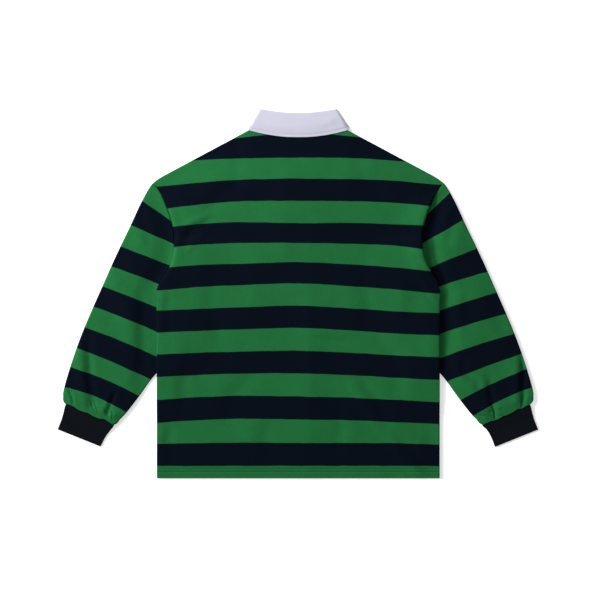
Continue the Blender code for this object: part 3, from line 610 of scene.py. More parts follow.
def panel_grid(panel):
    """Points across, along and up for every row and column of a panel, the left half first."""
    tips, rim, insets, flats, rises = half_columns(panel)
    side_rows = np.linspace(0.0, ARMPIT, round(ARMPIT / ROW_STEP) + 1)
    side_rows = np.unique(np.concatenate([side_rows, STITCHED_ROWS]))
    run = SHOULDER_TIP[1] - ARMPIT
    upper_rows = np.linspace(ARMPIT, SHOULDER_TIP[1] - TOP_ROW_INSET, round(run / ROW_STEP) + 1)[1:]
    inset, rise, flat = (values[::-1] for values in turn_shares())
    heights = np.concatenate([side_rows, upper_rows, np.full(TURN_POINTS, SHOULDER_TIP[1])])[:, None]
    plain_rows = len(heights) - TURN_POINTS
    is_top = np.arange(len(heights))[:, None] >= plain_rows
    top_inset = np.concatenate([np.zeros(plain_rows), inset])[:, None]
    top_rise = np.concatenate([np.ones(plain_rows), rise])[:, None]
    top_flat = np.concatenate([np.zeros(plain_rows), flat])[:, None]
    top_share = np.clip((heights - ARMPIT) / run, 0.0, 1.0) ** SHOULDER_BEND

    tips = tips[None, :]
    under, over, gap = layers(tips, shoulder_height(tips) - BELOW_SHOULDER)
    curl = smooth_step(*NECK_CURL_RUN, tips)
    down = mix(top_flat, (over - under - gap) / 2 * top_inset, curl)
    heights = heights - np.where(is_top, down, 0.0) / math.cos(math.atan(SHOULDER_SLOPE))
    upper_rise = np.where(is_top, mix(1.0, top_rise, curl), 1.0)

    half_width = edge_half_width(heights)
    under, over, gap = layers(half_width - INSIDE_EDGE, heights)
    overhang = rise_and_fall(heights, *ARMHOLE_TURN)
    if panel == "front":
        overhang = np.zeros_like(heights)
    side_curl = np.maximum(1.0 - smooth_step(*SIDE_TURN_ENDS, heights), overhang)
    turn_radius = (over - under - gap) / 2 * mix(1.0, ARMHOLE_TURN_SHARE, overhang)
    side_inset = mix(flats[None, :], turn_radius * insets[None, :], side_curl)
    side_rise = np.where(rim[None, :], mix(1.0, rises[None, :], side_curl), 1.0)
    first = SLIT_HALF_WIDTH if panel == "front" else 0.0
    plain = first + (tips - first) * (half_width - first) / (SHOULDER_TIP[0] - first)
    across = np.where(rim[None, :], half_width - side_inset, plain)
    tips = np.where(rim[None, :], tips - side_inset, tips)
    if panel == "front":
        middle = np.linspace(0.0, SLIT_HALF_WIDTH, SLIT_COLUMNS + 1)[:-1][None, :]
        rows = len(heights)
        across = np.hstack([np.repeat(middle, rows, axis=0), across])
        tips = np.hstack([np.repeat(middle, rows, axis=0), tips])
        heights, side_rise, upper_rise = (
            np.hstack([np.repeat(values[:, :1], SLIT_COLUMNS, axis=1), values])
            for values in (heights, side_rise, upper_rise)
        )
    along = heights + (top_edge(tips, panel) - SHOULDER_TIP[1]) * top_share
    sides = []
    for side in SIGN.values():
        if side > 0.0:
            # The right armhole's foot bows out a little more than the left one's.
            bulge = RIGHT_BULGE * np.exp(-(((along - RIGHT_BULGE_AT) / RIGHT_BULGE_WIDTH) ** 2))
            across = across + bulge * (across / half_width[:, :1]) ** BULGE_POWER
        under, over, gap = layers(side * across, along)
        middle = (under + over) / 2
        share = np.minimum(side_rise, upper_rise)
        if panel == "back":
            seam_level = np.maximum(ARMHOLE_SEAM, under + CLOTH + SEAM_GAP)
            low = mix(middle + gap / 2, seam_level, overhang)
            up = low + (over - low) * share
        else:
            high = middle - gap / 2
            up = high - (high - under) * share
        sides.append((side * across, along, up))
    left = [values[:, :0:-1] for values in sides[0]]
    return [np.hstack([a, b]) for a, b in zip(left, sides[1])]


print("rows and columns of the back panel:", panel_grid("back")[0].shape)

# %% [markdown]
# The hem is the panel's own cloth, turned up once and caught by two rows of stitching, so there it is twice
# as thick. A vertex group tells Solidify where. The front panel is slit down its middle for the placket.

# %% Make the two panels
PLACKET_LENGTH = 150.0
BAND_SIDE_GAP = 0.5
HEM_FADE = 3.9


def thicken_panel(made):
    group = made.vertex_groups.new(name="hem")
    for vert in made.data.vertices:
        along = vert.co.y / MM + SHIRT_LENGTH / 2
        turned_up = 1.0 - smooth_step(HEM_DEPTH, HEM_DEPTH + HEM_FADE, along)
        group.add([vert.index], float(turned_up), "REPLACE")
    wall = thicken(made, CLOTH + HEM_TURN)
    wall.vertex_group = "hem"
    wall.thickness_vertex_group = CLOTH / (CLOTH + HEM_TURN)


def make_panel(panel):
    across, along, up = panel_grid(panel)
    spots = np.stack([across / BAND_WIDTH, body_bands(across, along)], axis=-1)
    skip = None
    slit_bottom = None
    if panel == "front":
        middle = across.shape[1] // 2
        slit_side = along[:, middle + SLIT_COLUMNS]
        wanted = float(top_edge(SLIT_HALF_WIDTH, "front")) - PLACKET_LENGTH
        first = int(np.argmin(np.abs(slit_side - wanted)))
        slit_bottom = float(slit_side[first])
        skip = np.zeros((across.shape[0] - 1, across.shape[1] - 1), bool)
        skip[first:, middle - SLIT_COLUMNS:middle + SLIT_COLUMNS] = True
    grid = place(across, along, up)
    made = sheet_object(panel + "_cloth", grid, spots, skip=skip, flip=panel == "front")
    thicken_panel(made)
    wear(made, "striped_jersey", panel)
    return made, slit_bottom


back_cloth, _ = make_panel("back")
front_cloth, slit_bottom = make_panel("front")
print("slit ends", round(slit_bottom, 1), "mm above the hem's edge")
print("area of the back and front, m2:", [round(surface_area(made), 3) for made in (back_cloth, front_cloth)])

# %% [markdown]
# ## Sleeves
# A sleeve is one piece, sewn into a tube along its underside. Laid out, its inner part is tucked beneath
# the body. It is lofted here as a row of flattened rings, from the armhole's curve to the cuff. The tube
# stays open at both ends. Each row of the table holds the outer fold, the inner fold and the distance left
# to the cuff.

# %% Sections of a sleeve
SLEEVE = np.array([
    (270.0, 622.0, 219.0, 441.0, 590.0),
    (297.9, 605.7, 228.0, 417.0, 545.0),
    (320.4, 568.9, 236.0, 393.0, 500.0),
    (343.6, 519.1, 242.0, 370.0, 455.0),
    (364.7, 475.5, 247.0, 347.0, 410.0),
    (383.8, 434.3, 251.0, 325.0, 365.0),
    (401.8, 393.5, 255.0, 303.0, 318.0),
    (420.0, 352.3, 258.5, 271.5, 270.0),
    (438.1, 310.1, 270.5, 239.0, 222.0),
    (454.5, 267.2, 300.8, 203.5, 168.0),
    (468.6, 225.2, 324.4, 170.5, 115.0),
    (480.1, 185.3, 350.0, 137.1, 58.0),
    (482.2, 168.0, 364.5, 121.5, 18.0),
    (477.2, 151.5, 379.7, 109.4, 0.0),
])
STRAIGHT_FROM = 5
LAST_STEP = 12
CUFF_TOP = (428.45, 130.45)
CUFF_BOTTOM = (447.45, 83.2)
HEAD_END = np.array([(252.6, 462.0), (247.5, 443.0), (239.0, 427.0), (228.0, 417.0)])


def cuff_axis():
    """Which way a cuff points: its run across and its run along, as shares of its length."""
    length = math.dist(CUFF_TOP, CUFF_BOTTOM)
    return tuple((bottom - top) / length for top, bottom in zip(CUFF_TOP, CUFF_BOTTOM))


def sleeve_edges(step):
    """Outer x and y, inner x and y and distance to the cuff, at steps between the sections."""
    low = np.clip(np.floor(step).astype(int), 0, LAST_STEP - 1)
    t = (step - low)[..., None]
    before, start, end = SLEEVE[low], SLEEVE[low + 1], SLEEVE[low + 2]
    after = SLEEVE[np.minimum(low + 3, LAST_STEP + 1)]
    return hermite(start, (end - before) / 2, end, (after - start) / 2, t)


def head_path():
    """The sleeve's edge beside the armhole, from the shoulder tip to the hidden fold."""
    heights = np.linspace(606.0, 482.0, 63)
    edge = edge_half_width(heights)
    slope = (edge - edge_half_width(heights - 2.0)) / 2.0
    gap = 1.5 * SEAM_GAP / np.hypot(1.0, slope)
    return np.vstack([np.stack([edge + gap, heights - gap * slope], axis=1), HEAD_END])


HEAD = head_path()
HEAD_SHARES = np.concatenate([[0.0], np.cumsum(np.hypot(*np.diff(HEAD, axis=0).T))])
HEAD_SHARES /= HEAD_SHARES[-1]


def sleeve_plan(step, share):
    """Where a point of a sleeve section lies: on a straight line, or bowed near the head."""
    edges = sleeve_edges(step)
    across = mix(edges[..., 0], edges[..., 2], share)
    along = mix(edges[..., 1], edges[..., 3], share)
    bow = np.maximum(0.0, 1.0 - step / STRAIGHT_FROM)
    bowed = []
    for n, straight in enumerate((across, along)):
        curve = np.interp(share, HEAD_SHARES, HEAD[:, n])
        bowed.append(straight + bow * (curve - mix(HEAD[0, n], HEAD[-1, n], share)))
    return tuple(bowed)


print("sleeve width at the cuff:", round(float(np.hypot(*(SLEEVE[13, :2] - SLEEVE[13, 2:4]))), 1), "mm")

# %% [markdown]
# ## Gathers and creases of the sleeves
# The sleeve is wider than its cuff, so the seam gathers it. Deep troughs run up from the seam, with puffed
# cloth between them that overhangs the rib a little. Further up only long soft folds are left.

# %% Gathers and sleeve wrinkles
GatherRow = namedtuple("GatherRow", "at_cuff at_top length width depth")
GATHERS = {
    "left": [
        GatherRow(0.17, 0.08, 32.0, 0.030, 0.75),
        GatherRow(0.49, 0.43, 70.0, 0.050, 1.0),
        GatherRow(0.80, 0.70, 42.0, 0.035, 0.85),
    ],
    "right": [
        GatherRow(0.20, 0.13, 62.0, 0.035, 1.0),
        GatherRow(0.55, 0.58, 26.0, 0.030, 0.6),
        GatherRow(0.73, 0.80, 44.0, 0.045, 1.0),
    ],
}
SLEEVE_WRINKLES = {
    "left": [
        Wrinkle([(471.0, 184), (463, 167), (459, 148)], 3.0, 2.2, 1.0),
        Wrinkle([(430, 300), (427, 211), (421, 170), (416, 140)], 9.0, 3.4, 2.0),
        Wrinkle([(426, 160), (422, 148), (416, 136)], 1.7, 1.1, 0.7),
        Wrinkle([(418, 158), (414, 148), (410, 134)], 1.6, 1.0, 0.6),
        Wrinkle([(374, 180), (384, 152), (392, 126)], 5.2, 2.8, 1.6),
        Wrinkle([(397, 142), (392, 132), (388, 122)], 1.7, 1.1, 0.7),
        Wrinkle([(382, 144), (380, 130), (384, 118)], 1.8, 1.2, 0.7),
        Wrinkle([(326, 410), (321, 330), (321, 244), (329, 180)], 12.0, 2.0, 1.3),
        Wrinkle([(352, 190), (356, 160), (372, 140)], 9.0, 1.0, 1.0),
        Wrinkle([(388, 480), (356, 430), (344, 370)], 16.0, 1.3, 1.2),
        Wrinkle([(408, 410), (388, 350), (384, 280)], 18.0, 1.0, -1.2),
        Wrinkle([(452, 262), (446, 230), (446, 190)], 12.0, -1.2, 0.0),
        Wrinkle([(330, 560), (312, 520), (300, 470)], 10.0, 1.0, 0.9),
    ],
    "right": [
        Wrinkle([(462, 268), (462, 205), (460, 170), (458, 142)], 7.0, 3.4, -2.0),
        Wrinkle([(457, 176), (458, 162), (456, 142)], 1.8, 1.3, -0.8),
        Wrinkle([(390, 212), (395, 172), (401, 140), (404, 118)], 7.5, 2.6, -1.8),
        Wrinkle([(394, 156), (402, 136), (405, 118)], 2.0, 1.6, -0.8),
        Wrinkle([(364, 130), (384, 128), (403, 118)], 2.0, 1.5, 0.8),
        Wrinkle([(403, 134), (411, 129), (423, 127)], 2.0, 1.4, 0.8),
        Wrinkle([(334, 258), (342, 222), (360, 198)], 9.0, 1.7, -1.2),
        Wrinkle([(364, 206), (374, 180), (390, 160)], 8.0, 1.3, -1.0),
        Wrinkle([(326, 430), (344, 370), (352, 300)], 16.0, 1.2, -1.1),
        Wrinkle([(398, 386), (410, 330), (424, 276)], 16.0, 1.1, 1.0),
        Wrinkle([(436, 252), (438, 216), (434, 180)], 12.0, -1.2, 0.0),
        Wrinkle([(334, 560), (316, 520), (304, 470)], 10.0, 0.9, 0.9),
    ],
}
CROWN = 3.0
SUNK_BY_SEAM = {"left": 1.0, "right": 2.2}
SUNK_RUN = (230.0, 320.0, 560.0, 600.0)
SUNK_ACROSS = (1.0, 9.0, 14.0, 46.0)
THINNEST_SLEEVE = 2.75
TIP_RUN = 40.0
SLEEVE_RISE_RUN = (12.0, 48.0)
NEAR_CUFF = (15.0, 70.0)
GATHER_START = (8.0, 22.0)
GATHER_START_SHARE = 0.1
CROWN_FROM_BODY = (14.0, 70.0)
CROWN_FROM_OUTER = 0.2
CROWN_FROM_INNER = 0.14
CUFF_PUFF_RUN = (0.0, 26.0, 30.0, 90.0)
WRINKLE_FROM_FOLD = 0.05
WRINKLE_FROM_BODY = (6.0, 24.0)


def gather_share(side, share, to_cuff):
    """How high the cloth puffs between its gathers, from 0 in a gather to 1."""
    puff = 1.0
    for row in GATHERS[side]:
        run = np.minimum(1.0, to_cuff / row.length)
        centre = mix(row.at_cuff, row.at_top, run)
        width = row.width * (1.0 + run)
        puff = puff - row.depth * (1.0 - run ** 2) * np.exp(-(((share - centre) / width) ** 2))
    return np.maximum(0.0, puff)


def sleeve_base(side, across, along, share, to_cuff):
    """Height of the sleeve's upper side on its solid."""
    past_body = np.abs(across) - edge_half_width(along)
    past_tip = smooth_step(SHOULDER_TIP[1] - TIP_RUN, SHOULDER_TIP[1], along)
    height = mix(SLEEVE_HEAD, SLEEVE_FULL, smooth_step(*SLEEVE_RISE_RUN, past_body) * (1.0 - past_tip))
    near = 1.0 - smooth_step(*NEAR_CUFF, to_cuff)
    depth = GATHER_DEPTH * mix(GATHER_START_SHARE, 1.0, smooth_step(*GATHER_START, to_cuff))
    valley = depth * (1.0 - gather_share(side, share, to_cuff))
    return height + PUFF_HEIGHT * near - valley


def sleeve_relief(side, across, along, share, to_cuff):
    """What the real cloth adds to the solid: a soft crown, puffs by the cuff and wrinkles."""
    past_body = np.abs(across) - edge_half_width(along)
    free = smooth_step(*CROWN_FROM_BODY, past_body) * smooth_step(0.0, CROWN_FROM_OUTER, share)
    free = free * smooth_step(0.0, CROWN_FROM_INNER, 1.0 - share)
    puffs = rise_and_fall(to_cuff, *CUFF_PUFF_RUN)
    crown = CROWN * free * (0.5 + 0.5 * puffs * gather_share(side, share, to_cuff))
    sunk = SUNK_BY_SEAM[side] * rise_and_fall(past_body, *SUNK_ACROSS)
    crown = crown - sunk * rise_and_fall(along, *SUNK_RUN)
    inside = smooth_step(0.0, WRINKLE_FROM_FOLD, share) * smooth_step(0.0, WRINKLE_FROM_FOLD, 1.0 - share)
    wrinkles = wrinkle_height(SLEEVE_WRINKLES[side], np.abs(across), along)
    return crown + wrinkles * inside * smooth_step(*WRINKLE_FROM_BODY, past_body)


print("wrinkles on the left and right sleeve:", [len(rows) for rows in SLEEVE_WRINKLES.values()])

# %% [markdown]
# The bands of a sleeve run round it, so they cross the arm at a slant. Each edge between two bands is a line
# from the outer fold to the inner one, and some of them bow where the cloth swells.

# %% Band counts on a sleeve
SleeveStripe = namedtuple("SleeveStripe", "outer_x outer_y inner_x inner_y bow")
SLEEVE_STRIPES = {
    "left": [
        SleeveStripe(321.3, 568.9, 257.7, 524.7, 1.0),
        SleeveStripe(343.8, 519.1, 256.7, 480.6, 0.0),
        SleeveStripe(364.7, 475.5, 268.6, 438.6, 0.0),
        SleeveStripe(383.8, 434.3, 289.5, 399.3, 1.0),
        SleeveStripe(401.8, 393.5, 294.6, 351.9, 1.0),
        SleeveStripe(420.2, 352.3, 294.6, 302.1, 1.5),
        SleeveStripe(438.1, 310.1, 294.6, 251.5, 2.0),
        SleeveStripe(454.5, 267.2, 300.8, 201.3, 2.5),
        SleeveStripe(468.4, 228.0, 324.3, 167.6, 5.2),
        SleeveStripe(480.1, 186.5, 349.9, 133.8, 7.6),
    ],
    "right": [
        SleeveStripe(309.9, 584.7, 262.2, 538.2, 0.0),
        SleeveStripe(337.6, 528.8, 255.1, 481.8, 0.0),
        SleeveStripe(365.3, 470.2, 271.5, 432.2, 1.0),
        SleeveStripe(385.8, 422.6, 291.5, 393.7, 1.0),
        SleeveStripe(406.1, 380.2, 294.6, 345.7, 1.0),
        SleeveStripe(425.8, 337.1, 294.6, 297.2, 1.5),
        SleeveStripe(442.6, 296.4, 294.6, 247.6, 2.0),
        SleeveStripe(457.6, 255.0, 300.8, 196.5, 1.4),
        SleeveStripe(468.5, 224.2, 328.4, 158.2, 3.6),
        SleeveStripe(479.3, 186.0, 355.4, 126.0, 5.8),
    ],
}
FIRST_BAND = 1.15
LAST_BAND = 1.1
NARROWEST_BAND = 4.0


def sleeve_bands(side, across, along):
    """Count of bands from the cuff, whole at each edge between two bands."""
    lines = []
    for stripe in SLEEVE_STRIPES[side]:
        share = (np.abs(across) - stripe.outer_x) / (stripe.inner_x - stripe.outer_x)
        swell = 4.0 * np.clip(share, 0.0, 1.0) * (1.0 - np.clip(share, 0.0, 1.0))
        lines.append(mix(stripe.outer_y, stripe.inner_y, share) + stripe.bow * swell)
    lines.insert(0, lines[0] + BAND_WIDTH * FIRST_BAND)
    lines.append(lines[-1] - BAND_WIDTH * LAST_BAND)
    count = 0.0
    for high, low in zip(lines, lines[1:]):
        count = count + np.clip((along - low) / np.maximum(high - low, NARROWEST_BAND), 0.0, 1.0)
    return count


print("bands on a sleeve:", len(SLEEVE_STRIPES["left"]) + 1)

# %% [markdown]
# Each ring goes over the top from the outer fold to the inner one and back along the floor. At a fold the
# cloth turns in a half round, so the ring gets extra points there.

# %% Make the two sleeves
UPPER_POINTS = 84
LOWER_POINTS = 36
SEAM_DIP = 0.55
SEAM_DIP_WIDTH = 2.6
STEP_LENGTH = 45.0
KNIT_SCALE = 0.91
FOLD_PROBE = 0.03
END_BULGE = 2.8
END_BULGE_RUN = (-1.0, 4.0, 5.0, 17.0)
SEAM_WAVER_REACH = 14.0
SEAM_WAVER = {
    "left": (
        [0.0, 0.09, 0.17, 0.28, 0.38, 0.47, 0.57, 0.71, 0.80, 0.89, 1.0],
        [-0.4, -3.0, -2.6, -0.6, -1.1, -2.3, -0.8, -1.1, -4.1, -2.6, 0.0],
    ),
    "right": (
        [0.0, 0.10, 0.20, 0.27, 0.39, 0.52, 0.58, 0.64, 0.76, 0.84, 1.0],
        [-1.0, -0.9, 0.0, -2.4, -0.4, 0.0, -0.8, 0.0, 0.4, -1.7, -0.5],
    ),
}
SLEEVE_STEPS = np.concatenate([np.linspace(0.0, 9.0, 112), np.linspace(9.0, 12.0, 58)[1:]])


def fold_turn(side, far_share):
    """Shares and rises of the turn at a fold, square to the fold however the section meets it."""
    steps = SLEEVE_STEPS
    across, along = sleeve_plan(steps, np.full(steps.shape, far_share))
    to_cuff = sleeve_edges(steps)[..., 4]
    radius = sleeve_base(side, across, along, far_share, to_cuff) / 2
    inside = np.stack(sleeve_plan(steps, np.full(steps.shape, abs(far_share - FOLD_PROBE))))
    earlier = np.stack(sleeve_plan(np.maximum(0.0, steps - 0.1), np.full(steps.shape, far_share)))
    later = np.stack(sleeve_plan(np.minimum(LAST_STEP, steps + 0.1), np.full(steps.shape, far_share)))
    way_in = inside - np.stack([across, along])
    way_on = later - earlier
    long_in = np.hypot(*way_in)
    turned = np.abs(way_in[0] * way_on[1] - way_in[1] * way_on[0])
    squareness = turned / long_in / np.hypot(*way_on)
    inset, rise, _ = turn_shares()
    shares = inset[None, :] * (radius / (long_in / FOLD_PROBE) / squareness)[:, None]
    return shares, np.repeat(rise[None, :], len(steps), axis=0)


def sleeve_ring_shares(side):
    """For every ring: share across the sleeve, rise from the middle height, and which layer it is in."""
    outer, outer_rise = fold_turn(side, 0.0)
    inner, inner_rise = fold_turn(side, 1.0)
    first = outer[:, -1:]
    last = 1.0 - inner[:, -1:]
    upper = mix(first, last, np.linspace(0.0, 1.0, UPPER_POINTS + 2)[None, 1:-1])
    lower = mix(last, first, np.linspace(0.0, 1.0, LOWER_POINTS + 2)[None, 1:-1])
    shares = np.hstack([
        outer, upper, 1.0 - inner[:, ::-1],
        1.0 - inner[:, 1:], lower, outer[:, :0:-1],
    ])
    rises = np.hstack([
        outer_rise, np.ones_like(upper), inner_rise[:, ::-1],
        -inner_rise[:, 1:], -np.ones_like(lower), -outer_rise[:, :0:-1],
    ])
    top_count = 2 * TURN_POINTS + UPPER_POINTS
    is_upper = np.arange(shares.shape[1]) < top_count
    return shares, rises, is_upper


def make_sleeve(side):
    sign = SIGN[side]
    shares, rises, is_upper = sleeve_ring_shares(side)
    steps = np.repeat(SLEEVE_STEPS[:, None], shares.shape[1], axis=1)
    across, along = sleeve_plan(steps, shares)
    to_cuff = sleeve_edges(SLEEVE_STEPS)[:, 4][:, None]
    base = sleeve_base(side, across, along, shares, to_cuff)
    relief = sleeve_relief(side, across, along, shares, to_cuff)
    seam_dip = -SEAM_DIP * np.exp(-((steps * STEP_LENGTH / SEAM_DIP_WIDTH) ** 2))
    relief = np.maximum(relief + seam_dip, THINNEST_SLEEVE - base)
    up = base / 2 + rises * base / 2 + np.where(is_upper, relief, 0.0) * np.clip(rises, 0.0, 1.0)
    bands = sleeve_bands(side, across, along)
    axis_x, axis_y = cuff_axis()
    waver = curve_at(*SEAM_WAVER[side], np.clip(shares, 0.0, 1.0))
    reach = waver * (1.0 - smooth_step(0.0, SEAM_WAVER_REACH, to_cuff))
    bulge = END_BULGE * (1.0 - 2.0 * shares) * rise_and_fall(to_cuff, *END_BULGE_RUN)
    across = across + reach * axis_x - bulge * axis_y
    along = along + reach * axis_y + bulge * axis_x
    spots = np.stack([across / BAND_WIDTH / KNIT_SCALE, bands], axis=-1)
    points = place(sign * across, along, up)
    made = sheet_object("sleeve_" + side + "_cloth", points, spots, ring=True, flip=side == "left")
    thicken(made, CLOTH, soft_edge=None)
    wear(made, "striped_jersey", "sleeve_" + side)
    return made


sleeves = {side: make_sleeve(side) for side in SIGN}
for side, made in sleeves.items():
    print(side, "sleeve:", len(made.data.polygons), "faces,", round(surface_area(made), 3), "m2")

# %% [markdown]
# The armhole seam has an allowance inside: a narrow strip where both edges were sewn together. It closes the
# seam, so no floor shows between the body and the sleeve's head.

# %% Make the armhole allowances
ALLOWANCE_CLOTH = 0.5
ALLOWANCE_HEIGHT = 1.65
ALLOWANCE_REACH = np.array([-6.0, -3.0, -0.5, 1.2, 2.6])
ALLOWANCE_ENDS = (468.0, 603.0)
ALLOWANCE_ROWS = 75
NARROW_BELOW = 506.0
NARROW_SHARE = 0.4


def make_allowance(side):
    sign = SIGN[side]
    heights = np.linspace(*ALLOWANCE_ENDS, ALLOWANCE_ROWS)[:, None]
    edge = edge_half_width(heights)
    slope = (edge - edge_half_width(heights - 2.0)) / 2.0
    long = np.hypot(1.0, slope)
    reach = ALLOWANCE_REACH[None, :]
    reach = np.where((heights < NARROW_BELOW) & (reach > 0.0), NARROW_SHARE * reach, reach)
    across = edge + reach / long
    along = heights - reach * slope / long
    spots = np.stack([across / BAND_WIDTH, body_bands(sign * across, along)], axis=-1)
    grid = place(sign * across, along, np.full(across.shape, ALLOWANCE_HEIGHT))
    made = sheet_object("armhole_allowance_" + side, grid, spots, flip=side == "left")
    thicken(made, ALLOWANCE_CLOTH, offset=0.0, soft_edge=None)
    wear(made, "striped_jersey")
    return made


allowances = [make_allowance(side) for side in SIGN]
print("armhole allowances:", [round(surface_area(made) * 1e4, 1) for made in allowances], "cm2")

# %% [markdown]
# ## Rib cuffs
# A cuff is a doubled band of rib knit. Its ribs run down the arm, and they are real relief that catches the
# light, so they are modelled and not only bumped. The wall turns in on itself at the open end.

# %% Make the two cuffs
CUFF_ALONG = [-8.0, 3.0, 14.0, 30.0, 52.4]
CUFF_HALF_WIDTHS = [50.3, 50.8, 49.2, 47.5, 47.3]
CUFF_HEIGHT = 3.3
CUFF_LIFT = 1.65
RIB_PITCH = 2.5
RIB_POINTS = 6
RIBS = round(2 * CUFF_HALF_WIDTHS[2] / RIB_PITCH)
CUFF_POINTS = RIBS * RIB_POINTS + 1
RIB_DEPTH = 0.45
RIB_SHARPNESS = 1.5
CUFF_OUTER_ROWS = 22
CUFF_INNER_ROWS = 12
CUFF_LIFT_RUN = (4.0, 28.0)
SWAY_DOWN = 17.0
SWAY_ACROSS = 13.0
CUFF_LENGTH = 52.4
CUFF_HIDDEN = -8.0
END_ROUND = 0.65
END_ANGLES = np.radians([30.0, 60.0, 90.0, 120.0, 150.0])
END_RIB_SHARES = [0.9, 0.7, 0.5, 0.3, 0.2]
INNER_RIB_SHARE = 0.2
SIDE_ANGLES = np.radians(np.linspace(67.5, -67.5, 7))
CUFF_LOFT = 0.35
SWAY_START = {"left": 1.0, "right": 2.6}
CUFF_SHIFT_ROWS = [-8.0, 2.0, 8.0, 14.0, 30.0, 52.4]
CUFF_INNER_SHIFT = {"left": [4.6, 4.6, 3.8, 2.9, 0.4, -1.6], "right": [5.0, 4.6, 2.6, 1.0, 0.2, 0.6]}
CUFF_OUTER_SHIFT = {"left": 1.9, "right": 0.5}


def flat_tube(half_width):
    """Round a flattened tube: distance along its wall, and unit places for two flat runs and two turns."""
    radius = CUFF_HEIGHT / 2
    half_run = half_width - radius
    flat = np.linspace(-half_run, half_run, CUFF_POINTS)
    level = np.zeros(CUFF_POINTS)
    upright = np.ones(CUFF_POINTS)
    turn_x = np.cos(SIDE_ANGLES)
    turn_z = np.sin(SIDE_ANGLES)
    wide = np.concatenate([flat, half_run + radius * turn_x, flat[::-1], -half_run - radius * turn_x])
    up = np.concatenate([radius * upright, radius * turn_z, -radius * upright, -radius * turn_z])
    out_x = np.concatenate([level, turn_x, level, -turn_x])
    out_z = np.concatenate([upright, turn_z, -upright, -turn_z])
    return wide, up, out_x, out_z


def cuff_rib(count):
    """Depth below the crown of the ribs at each point round the tube."""
    phase = np.arange(CUFF_POINTS) / RIB_POINTS
    valley = RIB_DEPTH * (0.5 + 0.5 * np.cos(2 * math.pi * phase)) ** RIB_SHARPNESS
    turn = np.zeros(len(SIDE_ANGLES))
    return np.concatenate([valley, turn, valley, turn])[None, :].repeat(count, axis=0)


def make_cuff(side):
    sign = SIGN[side]
    axis_x, axis_y = cuff_axis()
    outer = np.linspace(CUFF_HIDDEN, CUFF_LENGTH - END_ROUND, CUFF_OUTER_ROWS)
    end = CUFF_LENGTH - END_ROUND + END_ROUND * np.sin(END_ANGLES)
    inner = np.linspace(CUFF_LENGTH - END_ROUND, CUFF_HIDDEN, CUFF_INNER_ROWS)
    rows = np.concatenate([outer, end, inner])
    depths = np.concatenate([
        np.zeros(len(outer)),
        END_ROUND * (1.0 - np.cos(END_ANGLES)),
        np.full(len(inner), CUFF_CLOTH),
    ])
    ribbed = np.concatenate([np.ones(len(outer)), END_RIB_SHARES, np.full(len(inner), INNER_RIB_SHARE)])
    wall = cuff_rib(len(rows)) * ribbed[:, None] + depths[:, None]
    widths = curve_at(CUFF_ALONG, CUFF_HALF_WIDTHS, rows)
    tubes = [flat_tube(width) for width in widths]
    wide, up, out_x, out_z = (np.stack([tube[n] for tube in tubes]) for n in range(4))
    lift = (CUFF_LIFT * (1.0 - smooth_step(*CUFF_LIFT_RUN, rows)))[:, None]
    sway_down = np.sin(rows / SWAY_DOWN)[:, None]
    sway = CUFF_LOFT * sway_down * np.sin(wide / SWAY_ACROSS + SWAY_START[side])
    upper = np.clip(out_z, 0.0, 1.0)
    inner_share = smooth_step(-1.0, 1.0, wide / widths[:, None])
    inner_shift = curve_at(CUFF_SHIFT_ROWS, CUFF_INNER_SHIFT[side], rows)[:, None]
    wide = wide - wall * out_x + mix(-CUFF_OUTER_SHIFT[side], inner_shift, inner_share)
    height = CUFF_HEIGHT / 2 + up - wall * out_z + lift + (CUFF_LOFT + sway) * upper
    across = CUFF_TOP[0] + axis_x * rows[:, None] + axis_y * wide
    along = CUFF_TOP[1] + axis_y * rows[:, None] - axis_x * wide
    down_cuff = np.repeat(rows[:, None], wide.shape[1], axis=1)
    spots = np.stack([wide, down_cuff], axis=-1) / BAND_WIDTH
    grid = place(sign * across, along, height)
    made = sheet_object("cuff_" + side + "_rib", grid, spots, ring=True, flip=side == "left", closed=True)
    wear(made, "rib_knit", "cuff_" + side)
    return made


cuffs = {side: make_cuff(side) for side in SIGN}
for side, made in cuffs.items():
    print(side, "cuff:", RIBS, "ribs a side,", len(made.data.polygons), "faces")

# %% [markdown]
# ## Collar
# The collar is one folded piece: a stand that rises from the neckline, a fold, and a fall that lies over
# it. Its section is carried round the neck from the left front point, past the centre back, to the right
# point. Each row of the table holds the seam, the fold and the edge, and how far the collar has turned over
# to the front.

# %% Rows and section of the collar
COLLAR_MIDDLE = 3.4
COLLAR = np.array([
    (0.0, 0.0, 748.6, 0.0, 699.1, 0.0),
    (20.0, 20.0, 749.2, 26.0, 699.8, 0.0),
    (40.0, 42.0, 751.0, 55.0, 703.2, 0.0),
    (58.0, 60.0, 753.4, 80.0, 708.0, 0.0),
    (68.0, 70.8, 755.2, 91.5, 710.9, 0.0),
    (72.0, 74.6, 755.9, 97.4, 712.4, 0.0),
    (73.4, 75.8, 756.0, 100.8, 714.2, 0.25),
    (73.6, 76.0, 755.8, 102.2, 717.0, 0.5),
    (73.4, 75.6, 755.2, 101.2, 718.2, 0.75),
    (73.2, 74.6, 754.0, 98.2, 716.8, 1.0),
    (68.0, 68.0, 748.5, 95.5, 706.5, 1.0),
    (60.0, 57.0, 738.5, 92.0, 692.0, 1.0),
    (45.0, 42.0, 717.5, 85.0, 667.0, 1.0),
    (30.0, 27.0, 695.0, 75.0, 642.0, 1.0),
    (16.0, 14.0, 679.0, 62.0, 620.0, 1.0),
    (0.6, 0.6, 672.0, 44.0, 604.6, 1.0),
])
COLLAR_STATIONS = 170
STAND_POINTS = 7
FOLD_POINTS = 9
STAND_LEVEL = 1.1
FALL_LEVEL = 2.76
FOLD_DEPTH = 1.5
FALL_START = 2.0
COLLAR_LOFT = 1.2
COLLAR_LOFT_POWER = 1.3
